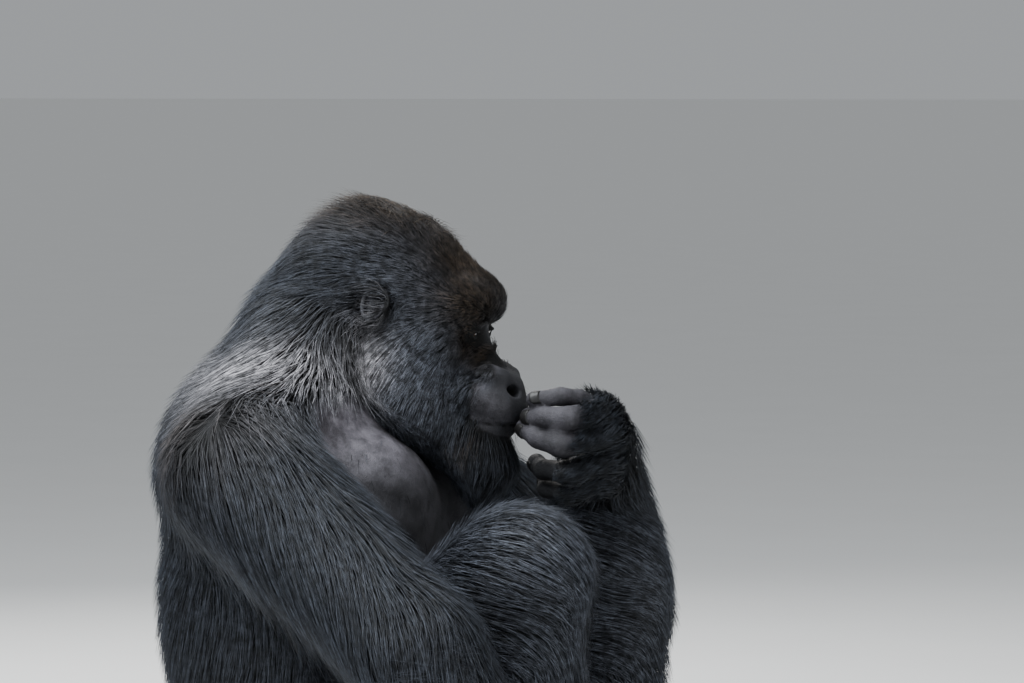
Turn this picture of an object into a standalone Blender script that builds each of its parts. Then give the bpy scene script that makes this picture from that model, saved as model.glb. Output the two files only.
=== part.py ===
"""A seated adult male mountain gorilla, life size, one solid for each part of the body.

Units are metres, +Z is up and the floor is z = 0. The animal faces +X and its left is +Y.
Each part is built as a group of rounded masses out to the tips of the coat. A group is fused by a
voxel remesh, softened, reduced to facets and then cut by the parts that it leans on.
"""

import math

import bmesh
import bpy
from mathutils import Euler, Matrix, Vector

# ---- Driving sizes -------------------------------------------------------------------------
GAP = 0.0004            # clearance between parts that touch
FLOOR = 0.0             # level of the flats under the seat, the feet and the right hand
EYE_RADIUS = 0.0125
EYE_PLACE = Vector((0.1075, 0.037, 0.0))   # left eye's centre, in the head's own frame

HEAD_PLACE = Vector((0.0, 0.0, 0.793))     # midway between the ear holes
HEAD_PITCH = math.radians(20.0)            # nose down
HEAD_YAW = math.radians(6.0)               # turned to its left

# Joint centres that set the pose. "right" is -Y.
SHOULDER = {"right": Vector((-0.122, -0.245, 0.578)), "left": Vector((-0.115, 0.255, 0.585))}
ELBOW = {"right": Vector((0.168, -0.368, 0.372)), "left": Vector((0.185, 0.330, 0.345))}
WRIST = {"right": Vector((0.330, -0.400, 0.085)), "left": Vector((0.243, 0.100, 0.612))}
HIP = {"right": Vector((-0.050, -0.120, 0.185)), "left": Vector((-0.050, 0.120, 0.180))}
KNEE = {"right": Vector((0.232, -0.180, 0.447)), "left": Vector((0.225, 0.150, 0.425))}
ANKLE = {"right": Vector((0.285, -0.195, 0.100)), "left": Vector((0.285, 0.165, 0.095))}
FOOT_TURN = {"right": math.radians(-14.0), "left": math.radians(8.0)}
SIDES = {"right": -1.0, "left": 1.0}


# ---- Modelling tools -----------------------------------------------------------------------
def clear_scene():
    for old in list(bpy.data.objects):
        bpy.data.objects.remove(old)


def ball(bm, centre, radii, turn=(0.0, 0.0, 0.0)):
    """One rounded mass. turn is its roll, pitch and yaw in degrees."""
    spin = Euler([math.radians(angle) for angle in turn]).to_matrix().to_4x4()
    place = Matrix.Translation(centre) @ spin @ Matrix.Diagonal((*radii, 1.0))
    bmesh.ops.create_icosphere(bm, subdivisions=3, radius=1.0, matrix=place)


def limb(bm, stations):
    """Balls joined by cones. stations are (centre, radius)."""
    for (near, near_radius), (far, far_radius) in zip(stations, stations[1:]):
        near, far = Vector(near), Vector(far)
        axis = far - near
        place = Matrix.Translation((near + far) / 2) @ axis.to_track_quat("Z", "Y").to_matrix().to_4x4()
        bmesh.ops.create_cone(
            bm, cap_ends=True, segments=24, radius1=near_radius, radius2=far_radius,
            depth=axis.length, matrix=place,
        )
    for centre, radius in stations:
        place = Matrix.Translation(Vector(centre))
        bmesh.ops.create_icosphere(bm, subdivisions=3, radius=radius, matrix=place)


def between(start, end, share):
    return Vector(start).lerp(Vector(end), share)


def linked(name, mesh):
    made = bpy.data.objects.new(name, mesh)
    bpy.context.scene.collection.objects.link(made)
    return made


def settle(piece):
    """Applies a piece's modifiers."""
    bpy.context.view_layer.update()
    graph = bpy.context.evaluated_depsgraph_get()
    mesh = bpy.data.meshes.new_from_object(piece.evaluated_get(graph))
    piece.modifiers.clear()
    piece.data = mesh
    mesh.name = piece.name


def keep_largest(piece):
    """Drops crumbs that a cut leaves beside the main body."""
    bm = bmesh.new()
    bm.from_mesh(piece.data)
    left, islands = set(bm.verts), []
    while left:
        island, edge = set(), [left.pop()]
        while edge:
            vert = edge.pop()
            island.add(vert)
            near = {link.other_vert(vert) for link in vert.link_edges} & left
            left -= near
            edge.extend(near)
        islands.append(island)
    islands.sort(key=len)
    bmesh.ops.delete(bm, geom=[v for island in islands[:-1] for v in island], context="VERTS")
    bm.to_mesh(piece.data)
    bm.free()


def fused(name, masses, voxel, softening, triangles, place=None):
    """Fuses overlapping masses into one closed surface with about that many triangles."""
    mesh = bpy.data.meshes.new(name)
    if place is not None:
        bmesh.ops.transform(masses, matrix=place, verts=masses.verts)
    masses.to_mesh(mesh)
    masses.free()
    piece = linked(name, mesh)
    union = piece.modifiers.new("Union", "REMESH")
    union.mode = "VOXEL"
    union.voxel_size = voxel
    soften = piece.modifiers.new("Soften", "SMOOTH")
    soften.factor = 0.5
    soften.iterations = softening
    settle(piece)
    facets = piece.modifiers.new("Facets", "DECIMATE")
    facets.ratio = triangles / (2 * len(piece.data.polygons))
    facets.use_collapse_triangulate = True
    settle(piece)
    return piece


def swollen(piece, by):
    """A cutter: the piece with each vertex pushed out along its normal."""
    cutter = linked("cutter_" + piece.name, piece.data.copy())
    offsets = [vert.normal * by for vert in cutter.data.vertices]
    for vert, offset in zip(cutter.data.vertices, offsets):
        vert.co += offset
    cutter.matrix_world = piece.matrix_world
    cutter.hide_render = True
    cutter.display_type = "WIRE"
    return cutter


def cut(piece, *neighbours):
    """Takes the neighbours, and the gap to them, out of a piece."""
    for neighbour in neighbours:
        cutter = swollen(neighbour, GAP)
        take = piece.modifiers.new("Cut", "BOOLEAN")
        take.operation = "DIFFERENCE"
        take.solver = "EXACT"
        take.object = cutter
        settle(piece)
        bpy.data.objects.remove(cutter)
    keep_largest(piece)


def clip(piece, point, outward):
    """Cuts a piece flat at a plane and drops what lies beyond it."""
    bm = bmesh.new()
    bm.from_mesh(piece.data)
    everything = bm.verts[:] + bm.edges[:] + bm.faces[:]
    sliced = bmesh.ops.bisect_plane(
        bm, geom=everything, plane_co=point, plane_no=outward, clear_outer=True, dist=1e-6
    )
    rim = [item for item in sliced["geom_cut"] if isinstance(item, bmesh.types.BMEdge)]
    bmesh.ops.triangle_fill(bm, edges=rim, use_beauty=True)
    bmesh.ops.triangulate(bm, faces=bm.faces[:])
    bmesh.ops.recalc_face_normals(bm, faces=bm.faces[:])
    bm.to_mesh(piece.data)
    bm.free()
    keep_largest(piece)


def split(piece, near_name, far_name, point, along):
    """Parts a limb in two at a joint. along is the joint's own direction, towards the far end."""
    along = Vector(along).normalized()
    far = linked(far_name, piece.data.copy())
    piece.name = near_name
    clip(piece, point - along * GAP / 2, along)
    clip(far, point + along * GAP / 2, -along)
    return piece, far


def bend(start, joint, end):
    """The direction half way between the two bones that meet at a joint."""
    return (joint - start).normalized() + (end - joint).normalized()


def stand_on_floor(piece):
    clip(piece, Vector((0.0, 0.0, FLOOR)), Vector((0.0, 0.0, -1.0)))


# ---- Head ----------------------------------------------------------------------------------
def head_frame():
    """The head's own frame: x to the nose, y to its left ear and z to the crown."""
    return Matrix.Translation(HEAD_PLACE) @ Euler((0.0, HEAD_PITCH, HEAD_YAW)).to_matrix().to_4x4()


def build_head():
    bm = bmesh.new()
    # Skull, crest and neck muscles
    ball(bm, (-0.020, 0, 0.020), (0.120, 0.098, 0.078))
    limb(bm, [((-0.078, 0, 0.056), 0.066), ((-0.020, 0, 0.056), 0.061), ((0.100, 0, 0.034), 0.030)])
    ball(bm, (-0.086, 0, -0.018), (0.092, 0.104, 0.100))
    ball(bm, (-0.095, 0, -0.070), (0.070, 0.096, 0.070))
    for side in (-1, 1):
        ball(bm, (-0.005, side * 0.053, 0.024), (0.100, 0.058, 0.064))          # temple
        limb(bm, [((0.105, 0, 0.038), 0.028), ((0.102, side * 0.032, 0.039), 0.030),
                  ((0.085, side * 0.062, 0.027), 0.025)])                       # brow ridge
        ball(bm, (0.066, side * 0.068, -0.022), (0.048, 0.032, 0.034))          # cheekbone
        ball(bm, (0.050, side * 0.066, -0.100), (0.082, 0.055, 0.094), (0, -28, 0))   # jowl
        ball(bm, (0.166, side * 0.025, -0.048), (0.030, 0.021, 0.020), (0, 30, 0))    # nostril wing
        ball(bm, (0.092, side * 0.037, -0.008), (0.022, 0.026, 0.026))          # eye bed
    ball(bm, (0.070, 0, -0.050), (0.070, 0.074, 0.075))                         # mid face
    limb(bm, [((0.100, 0, 0.000), 0.020), ((0.132, 0, -0.032), 0.019), ((0.160, 0, -0.048), 0.020),
              ((0.182, 0, -0.060), 0.018)])                                     # nose
    ball(bm, (0.143, 0, -0.078), (0.070, 0.066, 0.042), (0, 7, 0))              # upper lip
    ball(bm, (0.130, 0, -0.125), (0.084, 0.062, 0.042), (0, 10, 0))             # lower lip
    ball(bm, (0.162, 0, -0.162), (0.068, 0.064, 0.063))                         # chin and beard
    ball(bm, (0.090, 0, -0.149), (0.095, 0.082, 0.067), (0, 18, 0))             # throat of the jaw
    return fused("head", bm, 0.0045, 10, 1560, head_frame())


def build_eye(side, name):
    bm = bmesh.new()
    bmesh.ops.create_uvsphere(bm, u_segments=12, v_segments=8, radius=EYE_RADIUS)
    mesh = bpy.data.meshes.new(name)
    bm.to_mesh(mesh)
    bm.free()
    eye = linked(name, mesh)
    eye.data.transform(head_frame() @ Matrix.Translation((EYE_PLACE.x, side * EYE_PLACE.y, EYE_PLACE.z)))
    return eye


def build_ear(side, name):
    """A small ear with its hollow facing out and forward."""
    tilt = (side * 12, -14, side * 24)
    bm = bmesh.new()
    ball(bm, (-0.004, side * 0.106, -0.004), (0.020, 0.012, 0.027), tilt)
    ear = fused(name, bm, 0.0025, 2, 110, head_frame())
    bm = bmesh.new()
    ball(bm, (0.001, side * 0.121, -0.003), (0.011, 0.009, 0.017), tilt)
    hollow = fused("cutter_hollow", bm, 0.0025, 2, 44, head_frame())
    cut(ear, hollow)
    bpy.data.objects.remove(hollow)
    return ear


# ---- Trunk and neck ------------------------------------------------------------------------
def build_trunk():
    bm = bmesh.new()
    ball(bm, (-0.115, 0, 0.135), (0.200, 0.235, 0.175))                 # seat
    ball(bm, (-0.035, 0, 0.270), (0.205, 0.232, 0.200))                 # belly
    ball(bm, (-0.122, 0, 0.300), (0.190, 0.235, 0.200))                 # loins
    ball(bm, (-0.124, 0, 0.410), (0.205, 0.255, 0.230), (0, 6, 0))      # rib cage and back
    ball(bm, (-0.142, 0, 0.545), (0.185, 0.262, 0.130), (0, 8, 0))      # shoulder girdle
    ball(bm, (-0.190, 0, 0.605), (0.132, 0.200, 0.130), (0, 10, 0))     # hump of the upper back
    for side in (-1, 1):
        # Shoulder blade, breast, collarbone and upper breast
        ball(bm, (-0.130, side * 0.180, 0.575), (0.120, 0.120, 0.108))
        ball(bm, (-0.010, side * 0.103, 0.510), (0.080, 0.124, 0.106), (0, 20, side * 15))
        limb(bm, [((-0.092, side * 0.060, 0.648), 0.064), ((-0.100, side * 0.160, 0.618), 0.064)])
        limb(bm, [((-0.070, side * 0.110, 0.623), 0.056), ((-0.012, side * 0.115, 0.548), 0.074)])
    return fused("trunk", bm, 0.011, 12, 560)


def build_neck():
    bm = bmesh.new()
    limb(bm, [((-0.140, 0, 0.630), 0.140), ((-0.108, 0, 0.715), 0.135), ((-0.082, 0, 0.762), 0.118)])
    for side in (-1, 1):
        # Trapezius
        limb(bm, [((-0.100, side * 0.055, 0.735), 0.090), ((-0.130, side * 0.150, 0.640), 0.090)])
    return fused("neck", bm, 0.010, 8, 200)


# ---- Arms ----------------------------------------------------------------------------------
def build_arm(side):
    """Shoulder to wrist, with the long hair that hangs under the upper arm, parted at the elbow."""
    start, end, wrist = SHOULDER[side], ELBOW[side], WRIST[side]
    bm = bmesh.new()
    limb(bm, [(start, 0.107), (between(start, end, 0.5), 0.096), (end, 0.086)])
    under = Vector((-0.055, 0.0, -0.065))
    limb(bm, [(between(start, end, 0.15) + under * 0.6, 0.090), (between(start, end, 0.55) + under, 0.096),
              (between(start, end, 0.9) + under * 0.5, 0.084)])
    thick = {"right": (0.084, 0.050), "left": (0.082, 0.054)}[side]
    beyond = wrist + (wrist - end).normalized() * 0.03
    limb(bm, [(end, 0.086), (between(end, wrist, 0.40), thick[0]), (wrist, thick[1]), (beyond, thick[1])])
    arm = fused(side + "_upper_arm", bm, 0.009, 8, 400)
    upper, fore = split(arm, side + "_upper_arm", side + "_forearm", end, bend(start, end, wrist))
    clip(fore, wrist, wrist - end)
    return upper, fore


def finger(bm, joints, radius):
    """A finger with a swelling at each knuckle. joints run from the knuckle to the tip."""
    last = len(joints) - 1
    stations = []
    for index, joint in enumerate(joints):
        taper = radius * (1.0 - 0.10 * index)
        stations.append((joint, taper))
        if index < last:
            stations.append((between(joint, joints[index + 1], 0.5), taper * 0.93))
    limb(bm, stations)


def build_left_hand():
    """The hand at the mouth: a loose fist with the thumb on top."""
    bm = bmesh.new()
    wrist = WRIST["left"]
    palm = wrist + (ELBOW["left"] - wrist).normalized() * 0.02
    knuckles = {
        "index": Vector((0.268, 0.034, 0.646)),
        "middle": Vector((0.278, 0.036, 0.618)),
        "ring": Vector((0.275, 0.044, 0.588)),
        "little": Vector((0.265, 0.056, 0.560)),
    }
    for knuckle in knuckles.values():
        limb(bm, [(palm, 0.044), (between(wrist, knuckle, 0.5), 0.036), (knuckle, 0.0260)])
    # The joints beyond each knuckle, out to the tip, and the finger's radius
    beyond = {
        "index": ([(0.243, -0.022, 0.643), (0.210, -0.022, 0.643), (0.186, -0.013, 0.642)], 0.0182),
        "middle": ([(0.235, -0.026, 0.607), (0.202, -0.022, 0.616), (0.178, -0.008, 0.627)], 0.0182),
        "ring": ([(0.236, -0.014, 0.572), (0.200, 0.002, 0.573), (0.184, 0.020, 0.580)], 0.0175),
        "little": ([(0.231, 0.004, 0.543), (0.198, 0.020, 0.546), (0.191, 0.036, 0.557)], 0.0160),
    }
    for name, (joints, radius) in beyond.items():
        finger(bm, [knuckles[name], *joints], radius)
    thumb = [(0.252, 0.072, 0.648), (0.240, 0.030, 0.664), (0.226, -0.004, 0.670), (0.194, -0.016, 0.666)]
    finger(bm, thumb, 0.0160)
    hand = fused("left_hand", bm, 0.0035, 3, 810)
    clip(hand, wrist + (wrist - ELBOW["left"]).normalized() * GAP, ELBOW["left"] - wrist)
    return hand


def build_right_hand():
    """The resting hand: palm down, with the fingers curved onto the floor."""
    bm = bmesh.new()
    wrist = WRIST["right"]
    forward = Vector((0.97, -0.20, 0.0)).normalized()
    across = Vector((-forward.y, forward.x, 0.0))          # towards the thumb
    palm = wrist + forward * 0.100 + Vector((0, 0, -0.044))
    spread = {"index": 0.054, "middle": 0.019, "ring": -0.016, "little": -0.048}
    reach = {"index": 0.92, "middle": 1.0, "ring": 0.94, "little": 0.80}
    for name, aside in spread.items():
        knuckle = palm + across * aside
        limb(bm, [(wrist + across * aside * 0.3 + Vector((-0.006, 0, 0.008)), 0.040),
                  (between(wrist, knuckle, 0.55) + across * aside * 0.2 + Vector((0, 0, -0.006)), 0.034),
                  (knuckle, 0.0260)])
        ray = (forward + across * aside * 1.8).normalized()
        size = reach[name]
        finger(bm, [knuckle, knuckle + ray * 0.062 * size + Vector((0, 0, -0.006)),
                    knuckle + ray * 0.106 * size + Vector((0, 0, -0.025)),
                    knuckle + ray * 0.132 * size + Vector((0, 0, -0.033))], 0.0200)
    thumb = wrist + across * 0.042 + forward * 0.03 + Vector((0, 0, -0.045))
    finger(bm, [thumb, thumb + forward * 0.034 + across * 0.030 + Vector((0, 0, -0.014)),
                thumb + forward * 0.070 + across * 0.042 + Vector((0, 0, -0.030))], 0.0180)
    hand = fused("right_hand", bm, 0.0038, 4, 560)
    clip(hand, wrist + (wrist - ELBOW["right"]).normalized() * GAP, ELBOW["right"] - wrist)
    return hand


# ---- Legs ----------------------------------------------------------------------------------
def build_leg(side):
    """Hip to ankle, parted at the knee."""
    start, knee, ankle = HIP[side], KNEE[side], ANKLE[side]
    bm = bmesh.new()
    limb(bm, [(start, 0.140), (between(start, knee, 0.5), 0.128), (knee, 0.102)])
    calf = between(knee, ankle, 0.42) + Vector((-0.014, 0, 0))
    beyond = ankle + (ankle - knee).normalized() * 0.03
    limb(bm, [(knee, 0.098), (calf, 0.084), (ankle, 0.056), (beyond, 0.056)])
    leg = fused(side + "_thigh", bm, 0.009, 8, 340)
    thigh, shin = split(leg, side + "_thigh", side + "_shin", knee, bend(start, knee, ankle))
    clip(shin, ankle, ankle - knee)
    return thigh, shin


def build_foot(side):
    """A broad foot with the great toe set off to the inner side."""
    bm = bmesh.new()
    knee, ankle = KNEE[side], ANKLE[side]
    turn = Matrix.Rotation(FOOT_TURN[side], 4, "Z")
    forward = turn @ Vector((1, 0, 0))
    across = turn @ Vector((0, -SIDES[side], 0))           # towards the great toe

    def spot(ahead, aside, height):
        return Vector((ankle.x, ankle.y, 0)) + forward * ahead + across * aside + Vector((0, 0, height))

    up = (knee - ankle).normalized()
    # Heel, then the sole in three rays
    limb(bm, [(ankle + up * 0.02, 0.053), (spot(0.0, 0, 0.052), 0.050), (spot(-0.038, 0, 0.038), 0.046)])
    for aside in (-0.040, -0.012, 0.018):
        limb(bm, [(spot(-0.02, aside * 0.4, 0.042), 0.042), (spot(0.08, aside, 0.046), 0.038),
                  (spot(0.160, aside * 1.25, 0.028), 0.030)])
    # The four outer toes, then the great toe
    for aside, length in ((-0.054, 0.205), (-0.024, 0.222), (0.006, 0.230), (0.036, 0.228)):
        bend_at = 0.160 + (length - 0.160) * 0.55
        finger(bm, [spot(0.160, aside * 1.05, 0.029), spot(bend_at, aside * 1.12, 0.031),
                    spot(length + 0.010, aside * 1.16, 0.018)], 0.0205)
    finger(bm, [spot(0.040, 0.034, 0.036), spot(0.095, 0.074, 0.034), spot(0.150, 0.100, 0.025)], 0.0270)
    foot = fused(side + "_foot", bm, 0.0045, 4, 400)
    clip(foot, ankle - up * GAP, up)
    return foot


# ---- Colours -------------------------------------------------------------------------------
# Base colour and roughness of each kind of surface, all of it non-metallic
FINISHES = {
    "coat": ((0.035, 0.035, 0.040), 0.65),
    "silver_coat": ((0.150, 0.148, 0.155), 0.65),
    "skin": ((0.060, 0.055, 0.055), 0.45),
    "eye": ((0.050, 0.022, 0.010), 0.08),
}


def finish_kind(name):
    if name.endswith("_eye"):
        return "eye"
    if name.endswith(("_hand", "_foot", "_ear")):
        return "skin"
    return "silver_coat" if name == "neck" else "coat"


def paint(pieces):
    """Gives each part a material of its own."""
    for name, piece in pieces.items():
        kind = finish_kind(name)
        colour, roughness = FINISHES[kind]
        made = bpy.data.materials.new(name + "_" + kind)
        made.use_nodes = True
        shader = made.node_tree.nodes["Principled BSDF"]
        shader.inputs["Base Color"].default_value = (*colour, 1.0)
        shader.inputs["Roughness"].default_value = roughness
        shader.inputs["Metallic"].default_value = 0.0
        piece.data.materials.clear()
        piece.data.materials.append(made)
        piece.data.shade_smooth()


# ---- Assembly ------------------------------------------------------------------------------
def centre_on_floor(pieces):
    """Puts the middle of the whole animal's footprint over the origin."""
    corners = [vert.co for piece in pieces.values() for vert in piece.data.vertices]
    xs, ys = [c.x for c in corners], [c.y for c in corners]
    shift = Matrix.Translation((-(min(xs) + max(xs)) / 2, -(min(ys) + max(ys)) / 2, -FLOOR))
    for piece in pieces.values():
        piece.data.transform(shift)


def build_gorilla():
    clear_scene()
    p = {"left_eye": build_eye(1, "left_eye"), "right_eye": build_eye(-1, "right_eye")}
    p["head"] = build_head()
    cut(p["head"], p["left_eye"], p["right_eye"])
    p["trunk"] = build_trunk()
    cut(p["trunk"], p["head"])
    p["neck"] = build_neck()
    cut(p["neck"], p["head"], p["trunk"])
    p["left_hand"] = build_left_hand()
    cut(p["left_hand"], p["head"])
    p["right_hand"] = build_right_hand()
    for name, side in SIDES.items():
        p[name + "_ear"] = build_ear(side, name + "_ear")
        cut(p[name + "_ear"], p["head"], p["neck"])
        upper, fore = build_arm(name)
        cut(upper, p["trunk"], p["neck"])
        thigh, shin = build_leg(name)
        cut(thigh, p["trunk"], upper, fore)
        cut(shin, fore, upper, p["trunk"])
        foot = build_foot(name)
        p.update({piece.name: piece for piece in (upper, fore, thigh, shin, foot)})
    for name in ("trunk", "right_hand", "right_foot", "left_foot"):
        stand_on_floor(p[name])
    centre_on_floor(p)
    paint(p)
    return p


build_gorilla()
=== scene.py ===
import math
import time

import bpy
import numpy as np
from mathutils import Euler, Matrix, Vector


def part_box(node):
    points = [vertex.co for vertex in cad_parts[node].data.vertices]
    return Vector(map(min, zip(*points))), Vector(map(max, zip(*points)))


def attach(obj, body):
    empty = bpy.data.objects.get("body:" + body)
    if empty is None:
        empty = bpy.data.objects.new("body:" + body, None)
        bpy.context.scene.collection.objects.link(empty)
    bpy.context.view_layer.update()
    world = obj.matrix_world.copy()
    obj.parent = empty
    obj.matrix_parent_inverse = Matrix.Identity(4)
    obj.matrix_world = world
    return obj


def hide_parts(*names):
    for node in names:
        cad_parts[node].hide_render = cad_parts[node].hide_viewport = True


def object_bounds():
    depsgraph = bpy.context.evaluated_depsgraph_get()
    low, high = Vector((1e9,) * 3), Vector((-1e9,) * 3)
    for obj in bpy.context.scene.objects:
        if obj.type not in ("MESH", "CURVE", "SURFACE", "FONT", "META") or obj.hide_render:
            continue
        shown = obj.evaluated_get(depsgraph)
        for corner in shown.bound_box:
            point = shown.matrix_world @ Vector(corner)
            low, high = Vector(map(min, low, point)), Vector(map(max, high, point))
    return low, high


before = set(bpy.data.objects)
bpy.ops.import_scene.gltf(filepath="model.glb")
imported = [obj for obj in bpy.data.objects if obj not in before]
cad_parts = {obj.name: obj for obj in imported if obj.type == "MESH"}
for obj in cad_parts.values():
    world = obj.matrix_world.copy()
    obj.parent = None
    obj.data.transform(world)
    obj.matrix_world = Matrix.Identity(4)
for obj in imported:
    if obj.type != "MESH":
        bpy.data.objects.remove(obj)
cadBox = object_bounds()
started = time.time()


def report(words):
    print(f"[{time.time() - started:5.1f} s] {words}", flush=True)


def unit(v):
    v = np.asarray(v, float)
    return v / np.maximum(np.linalg.norm(v, axis=-1, keepdims=True), 1e-9)


def rotation(turn):
    return np.array(Euler([math.radians(angle) for angle in turn]).to_matrix())


def smooth(low, high, value):
    t = np.clip((value - low) / (high - low), 0, 1)
    return t * t * (3 - 2 * t)


def between(a, b, share):
    return np.asarray(a, float) * (1 - share) + np.asarray(b, float) * share


# the body is described in its own frame, with the head's centre at headPlace; the two eyes of
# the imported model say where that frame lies
eyeRadius = 0.0125
eyePlace = np.array((0.1075, 0.037, 0.0))
headPlace = np.array((0.0, 0.0, 0.793))
headPitch = 20.0


def middle(node):
    low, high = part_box(node)
    return np.array((low + high) / 2)


leftEye, rightEye = middle("left_eye"), middle("right_eye")
headYaw = math.degrees(math.atan2(-(leftEye - rightEye)[0], (leftEye - rightEye)[1]))
headTurn = rotation((0, headPitch, headYaw))
shift = (leftEye + rightEye) / 2 - headTurn @ (eyePlace * (1, 0, 1)) - headPlace

sides = {"right": -1, "left": 1}
shoulder = {"right": (-0.122, -0.245, 0.578), "left": (-0.115, 0.255, 0.585)}
elbow = {"right": (0.168, -0.368, 0.372), "left": (0.185, 0.330, 0.345)}
wrist = {"right": (0.330, -0.400, 0.085), "left": (0.243, 0.100, 0.612)}
hip = {"right": (-0.050, -0.120, 0.185), "left": (-0.050, 0.120, 0.180)}
knee = {"right": (0.232, -0.180, 0.447), "left": (0.225, 0.150, 0.425)}
ankle = {"right": (0.285, -0.195, 0.100), "left": (0.285, 0.165, 0.095)}
footTurn = {"right": -14.0, "left": 8.0}
for table in (shoulder, elbow, wrist, hip, knee, ankle):
    for name in table:
        table[name] = np.array(table[name])


# how far along a line each place is, as a share of it, and how far away from it
def alongLine(a, b, x, y, z):
    line = b - a
    t = ((x - a[0]) * line[0] + (y - a[1]) * line[1] + (z - a[2]) * line[2]) / (float(line @ line) + 1e-12)
    t = np.clip(t, 0, 1)
    away = np.sqrt((x - a[0] - t * line[0]) ** 2 + (y - a[1] - t * line[1]) ** 2
                   + (z - a[2] - t * line[2]) ** 2)
    return t, away


emptyClay = 0.15     # distance held by clay where nothing is near
blendRoom = 0.03     # room left round a mass, so that it blends with its neighbours


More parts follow.
